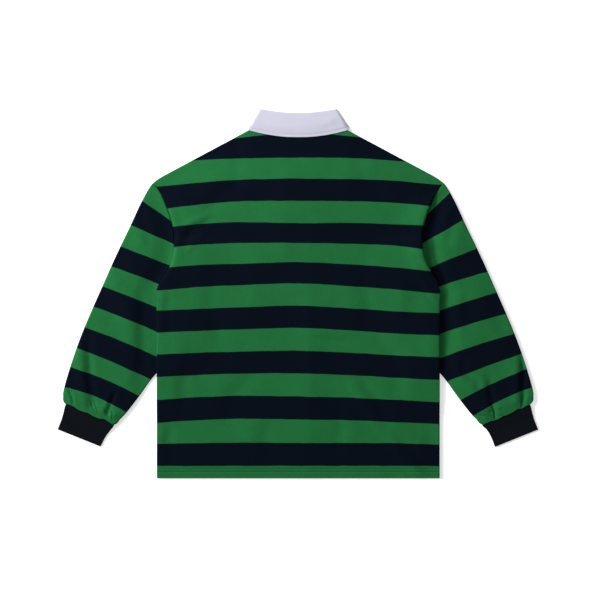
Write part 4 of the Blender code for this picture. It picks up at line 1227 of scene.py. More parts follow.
SEAM_ROLL = 1.2
FRONT_PRESS = 0.3
TURN_LENGTH = 8.0
COLLAR_GROOVE_WIDTH = 0.8
FALL_SHARES = np.concatenate([np.linspace(0.0, 0.78, 17)[1:], np.linspace(0.78, 1.0, 17)[1:]])
COLLAR_STITCH_INSETS = (4.4, 6.6)
COLLAR_GROOVE = 0.5
COLLAR_WRINKLES = [
    Wrinkle([(-30, 744), (-10, 734), (10, 730)], 8.0, 0.7, 0.6),
    Wrinkle([(-78, 722), (-40, 708), (-6, 704)], 6.0, 0.5, 0.7),
    Wrinkle([(46, 712), (70, 722), (88, 736)], 7.0, 0.5, 0.6),
    Wrinkle([(66, 750), (78, 738), (90, 722)], 7.0, 0.5, -0.5),
]


def collar_keys():
    """Distance round the collar from row to row, which spaces the rows as the cloth runs."""
    steps = np.diff(COLLAR, axis=0)
    lengths = np.hypot(np.hypot(steps[:, 3], steps[:, 4]), TURN_LENGTH * steps[:, 5])
    return np.concatenate([[0.0], np.cumsum(lengths)])


COLLAR_KEYS = collar_keys()


def collar_stations(count):
    return curve_at(COLLAR_KEYS, COLLAR, np.linspace(0.0, COLLAR_KEYS[-1], count))


def collar_section():
    """Rows of leaf (0 stand, 1 fall), share of the leaf, distance from the fold and height over middle."""
    rows = [(0, share, 0.0, STAND_LEVEL) for share in np.linspace(0.0, 0.9, STAND_POINTS)]
    middle = (STAND_LEVEL + FALL_LEVEL) / 2
    half = (FALL_LEVEL - STAND_LEVEL) / 2
    for angle in np.linspace(-math.pi / 2, math.pi / 2, FOLD_POINTS + 2)[1:-1]:
        rows.append((1, 0.0, FOLD_DEPTH * (1.0 - math.cos(angle)), middle + half * math.sin(angle)))
    rows += [(1, share, FALL_START * (1.0 - share), FALL_LEVEL) for share in FALL_SHARES]
    return np.array(rows)


COLLAR_SECTION = collar_section()
print("collar section:", len(COLLAR_SECTION), "rows")

# %% [markdown]
# The section lies flat at the back. Past each shoulder it turns over with the neck, until at the front the
# fall lies below the stand. The same function places the cloth and, later, its topstitching.

# %% Make the collar
def collar_points(stations, section, side, raised=0.0):
    """Grid of points for stations round the neck and rows of the section, on one side of the centre."""
    seam_x, fold_x, fold_y, edge_x, edge_y, turn = (stations[:, n][:, None] for n in range(6))
    leaf, share, from_fold, radius = (section[:, n][None, :] for n in range(4))
    angle = math.pi * turn
    back = turn < 0.5
    seam_y = np.where(back, top_edge(seam_x, "back"), top_edge(seam_x, "front"))
    before = np.maximum(0.0, seam_x - 1.0)
    seam_before = np.where(back, top_edge(before, "back"), top_edge(before, "front"))
    gap = SEAM_GAP * (1.0 + turn) * np.hypot(1.0, seam_y - seam_before)
    seam_y = seam_y + gap + SEAM_ROLL * np.sin(angle)
    fall_run = np.hypot(edge_x - fold_x, edge_y - fold_y)
    is_fall = leaf > 0.5
    reach = np.where(is_fall, share + from_fold / fall_run, share)
    low_x = np.where(is_fall, fold_x, seam_x)
    low_y = np.where(is_fall, fold_y, seam_y)
    high_x = np.where(is_fall, edge_x, fold_x)
    high_y = np.where(is_fall, edge_y, fold_y)
    reach = np.minimum(reach, 1.0)
    pressed = np.where(is_fall & ~back, smooth_step(0.5, 1.0, turn), 0.0)
    out = radius + raised - FRONT_PRESS * pressed
    across = mix(low_x, high_x, reach) + out * np.sin(angle) * (fold_y - edge_y) / fall_run
    along = mix(low_y, high_y, reach) + out * np.sin(angle) * (edge_x - fold_x) / fall_run
    crease = wrinkle_height(COLLAR_WRINKLES, side * across, along) * np.where(is_fall, share, 0.0)
    swell = np.sin(math.pi * np.clip(share, 0.0, 1.0)) ** COLLAR_LOFT_POWER
    loft = COLLAR_LOFT * np.where(is_fall, swell, 0.0)
    from_edge = (1.0 - share) * fall_run
    from_rows = [(from_edge - inset) / COLLAR_GROOVE_WIDTH for inset in COLLAR_STITCH_INSETS]
    groove = sum(np.exp(-(away ** 2)) for away in from_rows)
    loft = loft - COLLAR_GROOVE * np.where(is_fall, groove, 0.0)
    up = COLLAR_MIDDLE + (out + (loft + crease) * np.where(back, 1.0, 0.0)) * np.cos(angle)
    return side * across, along, up


def make_collar():
    stations = collar_stations(COLLAR_STATIONS)
    left = collar_points(stations[::-1], COLLAR_SECTION, -1.0)
    right = collar_points(stations[1:], COLLAR_SECTION, 1.0)
    across, along, up = (np.vstack([a, b]) for a, b in zip(left, right))
    grid = place(across, along, up)
    down = np.linalg.norm(np.diff(grid, axis=1), axis=2).cumsum(axis=1)
    round_neck = np.linalg.norm(np.diff(grid[:, -1:], axis=0), axis=2).cumsum(axis=0)
    down = np.hstack([np.zeros((len(grid), 1)), down]) / MM / BAND_WIDTH
    round_neck = np.vstack([[[0.0]], round_neck]) / MM / BAND_WIDTH
    spots = np.stack([np.repeat(round_neck, grid.shape[1], axis=1), down], axis=-1)
    made = sheet_object("collar_fold", grid, spots)
    thicken(made, COLLAR_CLOTH, offset=0.0)
    wear(made, "collar_twill", "collar")
    return made


collar = make_collar()
print("collar:", len(collar.data.polygons), "faces,", round(surface_area(collar), 4), "m2")

# %% [markdown]
# ## Placket bands
# The front opens down a short placket: two narrow twill bands, one over the other. They lie in the front's
# slit, on the side that rests on the floor, so they only show from below.

# %% Make the bands
BAND_ROWS = 96
BAND_COLUMNS = 17
BAND_STITCH_INSET = 2.6
BAND_GROOVE = 0.22
BAND_TOP_GAP = 1.0
BAND_PAST_NECK = 6.0
BAND_LEVELS = {"placket_over": -0.5, "placket_under": 0.8}


def band_grid(low):
    half = SLIT_HALF_WIDTH - BAND_SIDE_GAP
    bottom = slit_bottom + BAND_SIDE_GAP
    top = float(top_edge(0.0, "front")) - BAND_TOP_GAP
    along = np.linspace(bottom, top, BAND_ROWS)[:, None]
    across = np.linspace(-half, half, BAND_COLUMNS)[None, :]
    from_side = half - np.abs(across)
    from_end = np.minimum(along - bottom, top - along + BAND_PAST_NECK)
    edge = np.minimum(from_side, from_end)
    groove = BAND_GROOVE * np.exp(-(((edge - BAND_STITCH_INSET) / COLLAR_GROOVE_WIDTH) ** 2))
    up = front_under(0.0, along) + low + groove
    return np.broadcast_arrays(across, along, up)


def make_band(name, low):
    across, along, up = band_grid(low)
    spots = np.stack([across / BAND_WIDTH, along / BAND_WIDTH], axis=-1)
    made = sheet_object(name + "_band", place(across, along, up), spots)
    thicken(made, BAND_CLOTH, offset=1.0, soft_edge=0.3)
    wear(made, "collar_twill", name)
    return made


bands = {name: make_band(name, low) for name, low in BAND_LEVELS.items()}
print("placket bands:", list(bands))

# %% [markdown]
# ## Buttons
# Each button is turned from a profile with a dished face and a raised rim, then drilled with four holes. A
# Boolean modifier drills it, and the result is kept as plain mesh, so no cutter stays in the scene.

# %% Make the buttons
BUTTON_THICKNESS = 1.9
BUTTON_HOLE_RADIUS = 0.8
BUTTON_HOLE_OFFSET = 1.5
BUTTON_SIDES = 64
HOLE_SIDES = 20
DRILL_LENGTH = 6.0
BUTTON_HEIGHTS = {"button_top": 622.0, "button_middle": 571.0, "button_bottom": 520.0}


def button_profile():
    """Radius and height from the centre of the sewn side, round the rim, to the centre of the face."""
    rim = [(5.2, 1.9), (5.6, 1.82), (5.9, 1.55), (6.0, 1.2), (6.0, 0.75), (5.85, 0.35), (5.5, 0.08)]
    face = [(5.1, 0.0), (4.75, 0.05), (4.45, 0.22), (4.2, 0.42), (3.8, 0.5), (3.0, 0.46), (2.4, 0.4)]
    return [(0.0, BUTTON_THICKNESS), (3.0, BUTTON_THICKNESS)] + rim + face + [(0.0, 0.38)]


def make_button(name, along):
    profile = button_profile()
    work = bmesh.new()
    verts = [work.verts.new((radius * MM, 0.0, up * MM)) for radius, up in profile]
    edges = [work.edges.new(pair) for pair in zip(verts, verts[1:])]
    bmesh.ops.spin(work, geom=verts + edges, axis=(0, 0, 1), cent=(0, 0, 0), steps=BUTTON_SIDES,
                   angle=2 * math.pi, use_duplicate=False)
    bmesh.ops.remove_doubles(work, verts=work.verts, dist=0.01 * MM)
    bmesh.ops.recalc_face_normals(work, faces=work.faces)
    mesh = bpy.data.meshes.new(name + "_turned")
    work.to_mesh(mesh)
    work.free()
    made = bpy.data.objects.new(name + "_turned", mesh)
    shirt.objects.link(made)
    drill = bmesh.new()
    radius = BUTTON_HOLE_RADIUS * MM
    offset = BUTTON_HOLE_OFFSET * MM
    for quarter in range(4):
        angle = math.pi / 4 + quarter * math.pi / 2
        hole = bmesh.ops.create_cone(drill, cap_ends=True, segments=HOLE_SIDES, radius1=radius,
                                     radius2=radius, depth=DRILL_LENGTH * MM)
        bmesh.ops.translate(drill, vec=(offset * math.cos(angle), offset * math.sin(angle), MM),
                            verts=hole["verts"])
    cutter_mesh = bpy.data.meshes.new("drill")
    drill.to_mesh(cutter_mesh)
    drill.free()
    cutter = bpy.data.objects.new("drill", cutter_mesh)
    shirt.objects.link(cutter)
    cut = made.modifiers.new("holes", "BOOLEAN")
    cut.operation = "DIFFERENCE"
    cut.solver = "EXACT"
    cut.object = cutter
    graph = bpy.context.evaluated_depsgraph_get()
    drilled = bpy.data.meshes.new_from_object(made.evaluated_get(graph))
    made.modifiers.clear()
    made.data = drilled
    bpy.data.objects.remove(cutter)
    made.location = tuple(place(0.0, along, 0.0))
    made.data.shade_smooth()
    wear(made, "button_plastic", name)
    return made


buttons = [make_button(name, along) for name, along in BUTTON_HEIGHTS.items()]
print("buttons:", [(made.name, len(made.data.polygons)) for made in buttons])

# %% [markdown]
# ## Sewing
# Stitches are what tell a garment from a model of one. A stitch is a short length of thread that dives into
# the cloth at both ends. One small capsule is worked out ring by ring and repeated along each line of sewing,
# and all the capsules of a line share one mesh. The cloth is grooved below, as thread pulls it in.

# %% Stitch maker
STITCH_LENGTH = 2.7
STITCH_PITCH = 3.3
THREAD_RADIUS = 0.24
STITCH_ARCH = 1.6
STITCH_DIVE = 0.7
FINE_STITCH = {"stitch": 2.2, "pitch": 2.8, "radius": 0.2}
CAPSULE_RINGS = np.array([(0.0, 0.35), (0.12, 0.85), (0.5, 1.0), (0.88, 0.85), (1.0, 0.35)])
CAPSULE_SIDES = 6


def walk(points, pitch):
    """Places at an even pitch along a line of points."""
    points = np.asarray(points)
    lengths = np.concatenate([[0.0], np.cumsum(np.linalg.norm(np.diff(points, axis=0), axis=1))])
    count = max(2, int(lengths[-1] / pitch))
    spots = (np.arange(count) + 0.5) * lengths[-1] / count
    return lengths, spots


def stitch_mesh(name, lines, lifts, slot="collar_twill", stitch=STITCH_LENGTH, pitch=STITCH_PITCH,
                radius=THREAD_RADIUS):
    """One piece with every stitch along lines of points in millimetres. A lift is 1 above, -1 below."""
    verts = []
    faces = []
    for line, lift in zip(lines, lifts):
        line = np.asarray(line, dtype=float)
        lengths, spots = walk(line, pitch)
        for spot in spots:
            ends = [np.array([np.interp(spot + half * stitch / 2, lengths, line[:, k]) for k in range(3)])
                    for half in (-1.0, 1.0)]
            way = ends[1] - ends[0]
            long = np.linalg.norm(way)
            if long < 1e-6:
                continue
            way = way / long
            side = np.cross(way, (0.0, 0.0, 1.0))
            side = side / max(np.linalg.norm(side), 1e-6)
            over = np.cross(side, way)
            start = len(verts)
            for share, fat in CAPSULE_RINGS:
                centre = mix(ends[0], ends[1], share)
                arch = STITCH_ARCH * math.sin(math.pi * share) - STITCH_DIVE
                centre = centre + lift * over * radius * arch
                for k in range(CAPSULE_SIDES):
                    angle = 2 * math.pi * k / CAPSULE_SIDES
                    verts.append(centre + radius * fat * (side * math.cos(angle) + over * math.sin(angle)))
            rings = len(CAPSULE_RINGS)
            for n in range(rings - 1):
                for k in range(CAPSULE_SIDES):
                    m = (k + 1) % CAPSULE_SIDES
                    a = start + n * CAPSULE_SIDES
                    faces.append((a + k, a + m, a + CAPSULE_SIDES + m, a + CAPSULE_SIDES + k))
            faces.append(tuple(start + k for k in reversed(range(CAPSULE_SIDES))))
            last = start + (rings - 1) * CAPSULE_SIDES
            faces.append(tuple(last + k for k in range(CAPSULE_SIDES)))
    mesh = bpy.data.meshes.new(name)
    mesh.from_pydata([tuple(vert * MM) for vert in verts], [], faces)
    mesh.shade_smooth()
    made = bpy.data.objects.new(name, mesh)
    made.location = (0.0, -SHIRT_LENGTH / 2 * MM, 0.0)
    shirt.objects.link(made)
    wear(made, slot)
    return made


# %% [markdown]
# The hems are twin-needled, so two rows run side by side. The collar's edge and the placket are topstitched.

# %% Sew the hems, the collar and the placket
HEM_LIFTS = {"back": [1.0, 1.0], "front": [-0.5, -0.5]}
COLLAR_LIFTS = [1.0, -0.4, -0.4] * 2
THREAD_BELOW = 0.35
BOX_HEIGHT = 20.0
HEM_LINE_HALF = HALF_WIDTH - 3.0
HEM_LINE_POINTS = 240
BAND_LINE_STEP = 1.5
BAND_LINE_TOP_GAP = 3.0


def hem_line(panel, along):
    """Points along one row of a panel's hem stitching."""
    across = np.linspace(-HEM_LINE_HALF, HEM_LINE_HALF, HEM_LINE_POINTS)
    up = back_top(across, along) if panel == "back" else front_outside(across, along)
    return np.stack([across, np.full_like(across, along), up], axis=1)


def collar_lines(from_edge):
    """Lines round the collar's fall at a distance from its edge: the back and the two front leaves."""
    stations = collar_stations(COLLAR_STATIONS)
    fall = np.hypot(stations[:, 3] - stations[:, 1], stations[:, 4] - stations[:, 2])
    lines = []
    for side in SIGN.values():
        points = []
        for row, run in zip(stations, fall):
            section = np.array([(1, 1.0 - from_edge / run, FALL_START * from_edge / run, FALL_LEVEL)])
            across, along, up = collar_points(row[None, :], section, side, raised=COLLAR_CLOTH / 2)
            points.append((across[0, 0], along[0, 0], up[0, 0]))
        lines.append(np.array(points))
    behind = int(np.sum(stations[:, 5] < 0.5))
    whole = np.vstack([lines[0][:behind][::-1], lines[1][1:behind]])
    return [whole, lines[0][behind:], lines[1][behind:]]


hem_thread = []
for panel, lifts in HEM_LIFTS.items():
    lines = [hem_line(panel, line) for line in STITCH_LINES]
    hem_thread.append(stitch_mesh("hem_stitches_" + panel, lines, lifts, slot="striped_jersey"))
edge_lines = [line for inset in COLLAR_STITCH_INSETS for line in collar_lines(inset)]
collar_thread = stitch_mesh("collar_stitches", edge_lines, COLLAR_LIFTS, **FINE_STITCH)


def band_line(corners):
    """Points on the outer side of the placket, along straight runs between corners."""
    line = []
    for start, end in zip(corners, corners[1:]):
        count = max(2, int(math.dist(start, end) / BAND_LINE_STEP))
        for share in np.linspace(0.0, 1.0, count):
            x = mix(start[0], end[0], share)
            y = mix(start[1], end[1], share)
            line.append((x, y, float(front_under(0.0, y)) - THREAD_BELOW))
    return line


band_half = SLIT_HALF_WIDTH - BAND_SIDE_GAP - BAND_STITCH_INSET
band_low = slit_bottom + BAND_SIDE_GAP + BAND_STITCH_INSET
band_high = float(top_edge(0.0, "front")) - BAND_LINE_TOP_GAP
box_high = band_low + BOX_HEIGHT
left_foot = (-band_half, band_low)
right_foot = (band_half, band_low)
band_lines = [
    band_line([(-band_half, band_high), left_foot, right_foot, (band_half, band_high)]),
    band_line([(-band_half, box_high), (band_half, box_high)]),
    band_line([left_foot, (band_half, box_high)]),
    band_line([right_foot, (-band_half, box_high)]),
]
placket_thread = stitch_mesh("placket_stitches", band_lines, [-1.0] * len(band_lines), **FINE_STITCH)
FACES_A_STITCH = (len(CAPSULE_RINGS) - 1) * CAPSULE_SIDES + 2
print("hem stitches:", [len(made.data.polygons) // FACES_A_STITCH for made in hem_thread])

# %% [markdown]
# A buttonhole is a bar of close zigzag stitches round a cut. Two crossed threads hold each button.

# %% Buttonholes and button threads
BUTTONHOLE_LENGTH = 15.0
BUTTONHOLE_PITCH = 0.45
BUTTONHOLE_LIP = 0.35
BUTTONHOLE_SIDE = 1.7
BUTTONHOLE_BELOW = 0.42


def buttonhole_lines(along):
    """Short bars across both lips of an upright buttonhole."""
    lines = []
    half = BUTTONHOLE_LENGTH / 2
    for y in np.arange(along - half, along + half, BUTTONHOLE_PITCH):
        up = float(front_under(0.0, y)) - BUTTONHOLE_BELOW
        lines.append([(-BUTTONHOLE_SIDE, y, up), (-BUTTONHOLE_LIP, y + 0.2, up)])
        lines.append([(BUTTONHOLE_LIP, y, up), (BUTTONHOLE_SIDE, y + 0.2, up)])
    return lines


def button_thread_lines(along):
    """Two crossed threads over a button's face."""
    reach = BUTTON_HOLE_OFFSET * math.cos(math.pi / 4)
    return [
        [(-reach, along - reach, 0.3), (reach, along + reach, 0.3)],
        [(-reach, along + reach, 0.22), (reach, along - reach, 0.22)],
    ]


hole_lines = [line for along in BUTTON_HEIGHTS.values() for line in buttonhole_lines(along)]
HOLE_STITCH = {"stitch": 0.66, "pitch": 0.68, "radius": 0.16}
hole_thread = stitch_mesh("buttonhole_stitches", hole_lines, [-1.0] * len(hole_lines), **HOLE_STITCH)
cross_lines = [line for along in BUTTON_HEIGHTS.values() for line in button_thread_lines(along)]
CROSS_STITCH = {"stitch": 3.0, "pitch": 9.0, "radius": 0.14}
button_thread = stitch_mesh("button_thread", cross_lines, [-0.3] * len(cross_lines), **CROSS_STITCH)
print("buttonhole bars:", len(hole_lines))

# %% [markdown]
# ## How the cloth is made up of yarn
# Every cloth here shares a few effects: the loops of a knit, soft uneven dye, and loose surface fibres.
# Each is a node group with named inputs and outputs, built once and then placed in each material with its
# own values.

# %% Node group helpers
def new_group(name, inputs, outputs):
    """An empty node group with float, vector and colour sockets, and its two end nodes."""
    group = bpy.data.node_groups.new(name, "ShaderNodeTree")
    kinds = {"float": "NodeSocketFloat", "vector": "NodeSocketVector", "colour": "NodeSocketColor"}
    for socket, kind, value in inputs:
        made = group.interface.new_socket(name=socket, in_out="INPUT", socket_type=kinds[kind])
        if value is not None:
            made.default_value = value
    for socket, kind in outputs:
        group.interface.new_socket(name=socket, in_out="OUTPUT", socket_type=kinds[kind])
    return group, group.nodes.new("NodeGroupInput"), group.nodes.new("NodeGroupOutput")


def link(tree, source, target):
    tree.links.new(source, target)


def put_in(tree, socket, value):
    """Sets a socket to a number or a colour, or links it to another node's output."""
    if isinstance(value, (int, float)):
        socket.default_value = value
    elif isinstance(value, tuple):
        socket.default_value = (*value, 1.0)
    else:
        link(tree, value, socket)


def math_node(tree, operation, *values, clamp=False):
    """A Math node whose inputs are numbers or other nodes' outputs. Returns its output."""
    node = tree.nodes.new("ShaderNodeMath")
    node.operation = operation
    node.use_clamp = clamp
    for socket, value in zip(node.inputs, values):
        put_in(tree, socket, value)
    return node.outputs[0]


def map_range(tree, value, from_low, from_high, to_low=0.0, to_high=1.0, smooth=True):
    node = tree.nodes.new("ShaderNodeMapRange")
    node.interpolation_type = "SMOOTHSTEP" if smooth else "LINEAR"
    ends = {"From Min": from_low, "From Max": from_high, "To Min": to_low, "To Max": to_high}
    for name, number in ends.items():
        put_in(tree, node.inputs[name], number)
    link(tree, value, node.inputs["Value"])
    return node.outputs["Result"]


def mix_colour(tree, factor, first, second, blend="MIX"):
    node = tree.nodes.new("ShaderNodeMix")
    node.data_type = "RGBA"
    node.blend_type = blend
    for name, value in {"Factor": factor, "A": first, "B": second}.items():
        put_in(tree, node.inputs[name], value)
    return node.outputs["Result"]


def scaled(tree, colour, share):
    """A colour or a place, times a number."""
    node = tree.nodes.new("ShaderNodeVectorMath")
    node.operation = "SCALE"
    link(tree, colour, node.inputs[0])
    put_in(tree, node.inputs["Scale"], share)
    return node.outputs[0]


def split_place(tree, value):
    """The parts of a place: across, along and the third one."""
    node = tree.nodes.new("ShaderNodeSeparateXYZ")
    link(tree, value, node.inputs[0])
    return node.outputs


def room_place(tree):
    return tree.nodes.new("ShaderNodeTexCoord").outputs["Object"]


def ripple(tree, value, turn):
    """The height of a row of rounded ridges: the size of the sine of a value times a turn."""
    angle = math_node(tree, "MULTIPLY", value, turn)
    return math_node(tree, "ABSOLUTE", math_node(tree, "SINE", angle))


def gain_and_base(tree, value, gain, base):
    return math_node(tree, "ADD", math_node(tree, "MULTIPLY", value, gain), base)


def noise(tree, vector, scale, detail=2.0, roughness=0.5):
    node = tree.nodes.new("ShaderNodeTexNoise")
    node.inputs["Scale"].default_value = scale
    node.inputs["Detail"].default_value = detail
    node.inputs["Roughness"].default_value = roughness
    link(tree, vector, node.inputs["Vector"])
    return node.outputs["Fac"]


print("node helpers ready")

# %% [markdown]
# Jersey shows a column of small V shapes, each made by two legs of a loop. A fold of the place across gives
# the two legs, and the place along, slid by the leg's lean, gives the rows of loops. The bands are a
# ping-pong of the band count, which swaps yarn at every whole number, with a slightly unsteady edge.

# %% Node groups: knit loops, bands, dye and fibres
def knit_loops_group():
    group, start, end = new_group(
        "knit_loops",
        [("Cloth", "vector", None), ("Column", "float", 1.5), ("Row", "float", 1.1), ("Lean", "float", 0.9)],
        [("Height", "float"), ("Painted Shade", "float")],
    )
    cloth = split_place(group, start.outputs["Cloth"])
    column = math_node(group, "DIVIDE", cloth[0], start.outputs["Column"])
    inside = math_node(group, "SUBTRACT", math_node(group, "FRACT", column), 0.5)
    leg = math_node(group, "ABSOLUTE", inside)
    leaning = math_node(group, "MULTIPLY", leg, start.outputs["Lean"])
    level_row = math_node(group, "DIVIDE", cloth[1], start.outputs["Row"])
    row = math_node(group, "ADD", level_row, leaning)
    across = ripple(group, inside, 2 * math.pi)
    along = ripple(group, row, math.pi)
    bulge = gain_and_base(group, along, 0.45, 0.55)
    height = math_node(group, "MULTIPLY", math_node(group, "POWER", across, 0.6), bulge)
    link(group, height, end.inputs["Height"])
    # Painted shade: this output is low in the low places between the loops, and the materials darken the
    # yarn's colour there.
    painted_shade = map_range(group, height, 0.15, 0.75)
    link(group, painted_shade, end.inputs["Painted Shade"])
    return group


def yarn_bands_group():
    group, start, end = new_group(
        "yarn_bands",
        [
            ("Count", "float", 0.0), ("Edge", "float", 0.02),
            ("Waver", "float", 0.01), ("Cloth", "vector", None),
        ],
        [("Mask", "float")],
    )
    waver = math_node(group, "SUBTRACT", noise(group, start.outputs["Cloth"], 0.03, 3.0), 0.5)
    shift = math_node(group, "MULTIPLY", waver, start.outputs["Waver"])
    shifted = math_node(group, "ADD", start.outputs["Count"], shift)
    wave = math_node(group, "PINGPONG", math_node(group, "ADD", shifted, 0.5), 1.0)
    low = math_node(group, "SUBTRACT", 0.5, start.outputs["Edge"])
    high = math_node(group, "ADD", 0.5, start.outputs["Edge"])
    link(group, map_range(group, wave, low, high), end.inputs["Mask"])
    return group


def uneven_dye_group():
    group, start, end = new_group(
        "uneven_dye",
        [
            ("Colour", "colour", None), ("Place", "vector", None),
            ("Patches", "float", 0.06), ("Specks", "float", 0.1),
        ],
        [("Colour", "colour"), ("Patch", "float")],
    )
    patch = noise(group, start.outputs["Place"], 28.0, 3.0, 0.55)
    speck = noise(group, start.outputs["Place"], 900.0, 2.0, 0.6)
    gains = []
    for effect, strength in ((patch, "Patches"), (speck, "Specks")):
        change = math_node(group, "SUBTRACT", effect, 0.5)
        gains.append(math_node(group, "MULTIPLY", change, start.outputs[strength]))
    gain = math_node(group, "ADD", math_node(group, "ADD", *gains), 1.0)
    link(group, scaled(group, start.outputs["Colour"], gain), end.inputs["Colour"])
    link(group, patch, end.inputs["Patch"])
    return group


def loose_fibres_group():
    group, start, end = new_group(
        "loose_fibres",
        [("Place", "vector", None), ("Size", "float", 1400.0), ("Amount", "float", 0.5)],
        [("Height", "float"), ("Mask", "float")],
    )
    texture = group.nodes.new("ShaderNodeTexNoise")
    texture.inputs["Detail"].default_value = 4.0
    texture.inputs["Roughness"].default_value = 0.7
    texture.inputs["Distortion"].default_value = 1.5
    link(group, start.outputs["Place"], texture.inputs["Vector"])
    link(group, start.outputs["Size"], texture.inputs["Scale"])
    fibres = map_range(group, texture.outputs["Fac"], 0.42, 0.72)
    link(group, math_node(group, "MULTIPLY", fibres, start.outputs["Amount"]), end.inputs["Height"])
    link(group, fibres, end.inputs["Mask"])
    return group


KNIT = knit_loops_group()
BANDS = yarn_bands_group()
DYE = uneven_dye_group()
FIBRES = loose_fibres_group()
print("node groups:", [group.name for group in (KNIT, BANDS, DYE, FIBRES)])

# %% [markdown]
# ## Striped jersey, rib and twill
# A heavy cotton jersey is matt and slightly hairy. Its green and its near-black navy are two yarns, so the
# band mask picks between two dyed colours, and the loops and fibres lie over both. A little sheen lifts its
# folds. The rib is the same knit in charcoal yarn, and the collar's twill is a slanted ridge over its
# threads.

# %% Cloth materials
GREEN = (0.0150, 0.1480, 0.0410)
NAVY = (0.0020, 0.0043, 0.0100)
WHITE = (0.560, 0.560, 0.662)
CHARCOAL = (0.0050, 0.0068, 0.0100)
TWILL_RIDGE = 0.9
TWILL_THREAD = 0.5


def new_material(name, roughness, sheen, specular):
    material = bpy.data.materials.new(name)
    material.use_nodes = True
    tree = material.node_tree
    shader = tree.nodes["Principled BSDF"]
    shader.inputs["Roughness"].default_value = roughness
    shader.inputs["Sheen Weight"].default_value = sheen
    shader.inputs["Sheen Roughness"].default_value = 0.45
    shader.inputs["Specular IOR Level"].default_value = specular
    return material, tree, shader


def cloth_places(tree):
    """The place on the cloth in millimetres, its band count, and the place in the room in metres."""
    spot = tree.nodes.new("ShaderNodeUVMap")
    spot.uv_map = "cloth"
    count = split_place(tree, spot.outputs["UV"])[1]
    millimetres = scaled(tree, spot.outputs["UV"], BAND_WIDTH)
    return millimetres, count, room_place(tree)


def add_group(tree, group, **values):
    node = tree.nodes.new("ShaderNodeGroup")
    node.node_tree = group
    for name, value in values.items():
        put_in(tree, node.inputs[name], value)
    return node


def add_bumps(tree, shader, *layers):
    """Bump nodes in a chain, one for each height, its depth in metres and its strength."""
    normal = None
    for height, depth, strength in layers:
        node = tree.nodes.new("ShaderNodeBump")
        node.inputs["Distance"].default_value = depth
        node.inputs["Strength"].default_value = strength
        link(tree, height, node.inputs["Height"])
        if normal is not None:
            link(tree, normal, node.inputs["Normal"])
        normal = node.outputs["Normal"]
    link(tree, normal, shader.inputs["Normal"])


def finish_cloth(tree, shader, room, dyed, painted_shade, relief, rough, fibre_size, fibre_amount, fibre_bump):
    """Darkens the dyed colour with painted shade from the knit or weave, and lays loose fibres over its
    relief.
    """
    link(tree, scaled(tree, dyed.outputs["Colour"], painted_shade), shader.inputs["Base Color"])
    fibres = add_group(tree, FIBRES, Place=room, Size=fibre_size, Amount=fibre_amount)
    link(tree, map_range(tree, fibres.outputs["Mask"], 0.0, 1.0, *rough), shader.inputs["Roughness"])
    add_bumps(tree, shader, relief, (fibres.outputs["Height"], *fibre_bump))


def striped_jersey():
    material, tree, shader = new_material("striped_jersey_cloth", 0.9, 0.012, 0.03)
    cloth, count, room = cloth_places(tree)
    loops = add_group(tree, KNIT, Cloth=cloth, Column=1.6, Row=1.15, Lean=0.9)
    mask = add_group(tree, BANDS, Count=count, Edge=0.012, Waver=0.05, Cloth=cloth)
    yarn = mix_colour(tree, mask.outputs["Mask"], NAVY, GREEN)
    dyed = add_group(tree, DYE, Colour=yarn, Place=room, Patches=0.22, Specks=0.5)
    # Painted shade: the band colours are darker in the knit's low places.
    painted_shade = gain_and_base(tree, loops.outputs["Painted Shade"], 0.45, 0.68)
    relief = (loops.outputs["Height"], 0.00035, 0.5)
    finish_cloth(tree, shader, room, dyed, painted_shade, relief, (0.84, 0.97), 1500.0, 0.6, (0.0002, 0.35))
    return material


def rib_knit():
    material, tree, shader = new_material("rib_knit_cloth", 0.92, 0.012, 0.03)
    cloth, _, room = cloth_places(tree)
    loops = add_group(tree, KNIT, Cloth=cloth, Column=RIB_PITCH / 2, Row=0.9, Lean=0.9)
    dyed = add_group(tree, DYE, Colour=CHARCOAL, Place=room, Patches=0.3, Specks=1.1)
    # Painted shade: the charcoal is darker in the rib knit's low places.
    painted_shade = gain_and_base(tree, loops.outputs["Painted Shade"], 0.7, 0.55)
    relief = (loops.outputs["Height"], 0.0003, 0.6)
    finish_cloth(tree, shader, room, dyed, painted_shade, relief, (0.85, 0.98), 1500.0, 0.6, (0.0002, 0.35))
    return material


def collar_twill():
    material, tree, shader = new_material("collar_twill_cloth", 0.8, 0.1, 0.2)
    cloth, _, room = cloth_places(tree)
    parts = split_place(tree, cloth)
    slant = math_node(tree, "ADD", parts[0], parts[1])
    ridge = ripple(tree, slant, math.pi / TWILL_RIDGE)
    thread = ripple(tree, parts[0], math.pi / TWILL_THREAD)
    weave = math_node(tree, "MULTIPLY", ridge, gain_and_base(tree, thread, 0.35, 0.65))
    dyed = add_group(tree, DYE, Colour=WHITE, Place=room, Patches=0.06, Specks=0.1)
    # Painted shade: the white is darker in the twill's grooves.
    painted_shade = gain_and_base(tree, weave, 0.12, 0.92)
    relief = (weave, 0.0002, 0.5)
    finish_cloth(tree, shader, room, dyed, painted_shade, relief, (0.72, 0.9), 1800.0, 0.4, (0.00015, 0.3))
    return material


JERSEY = striped_jersey()
RIB = rib_knit()
TWILL = collar_twill()
print("cloths:", [material.name for material in (JERSEY, RIB, TWILL)])
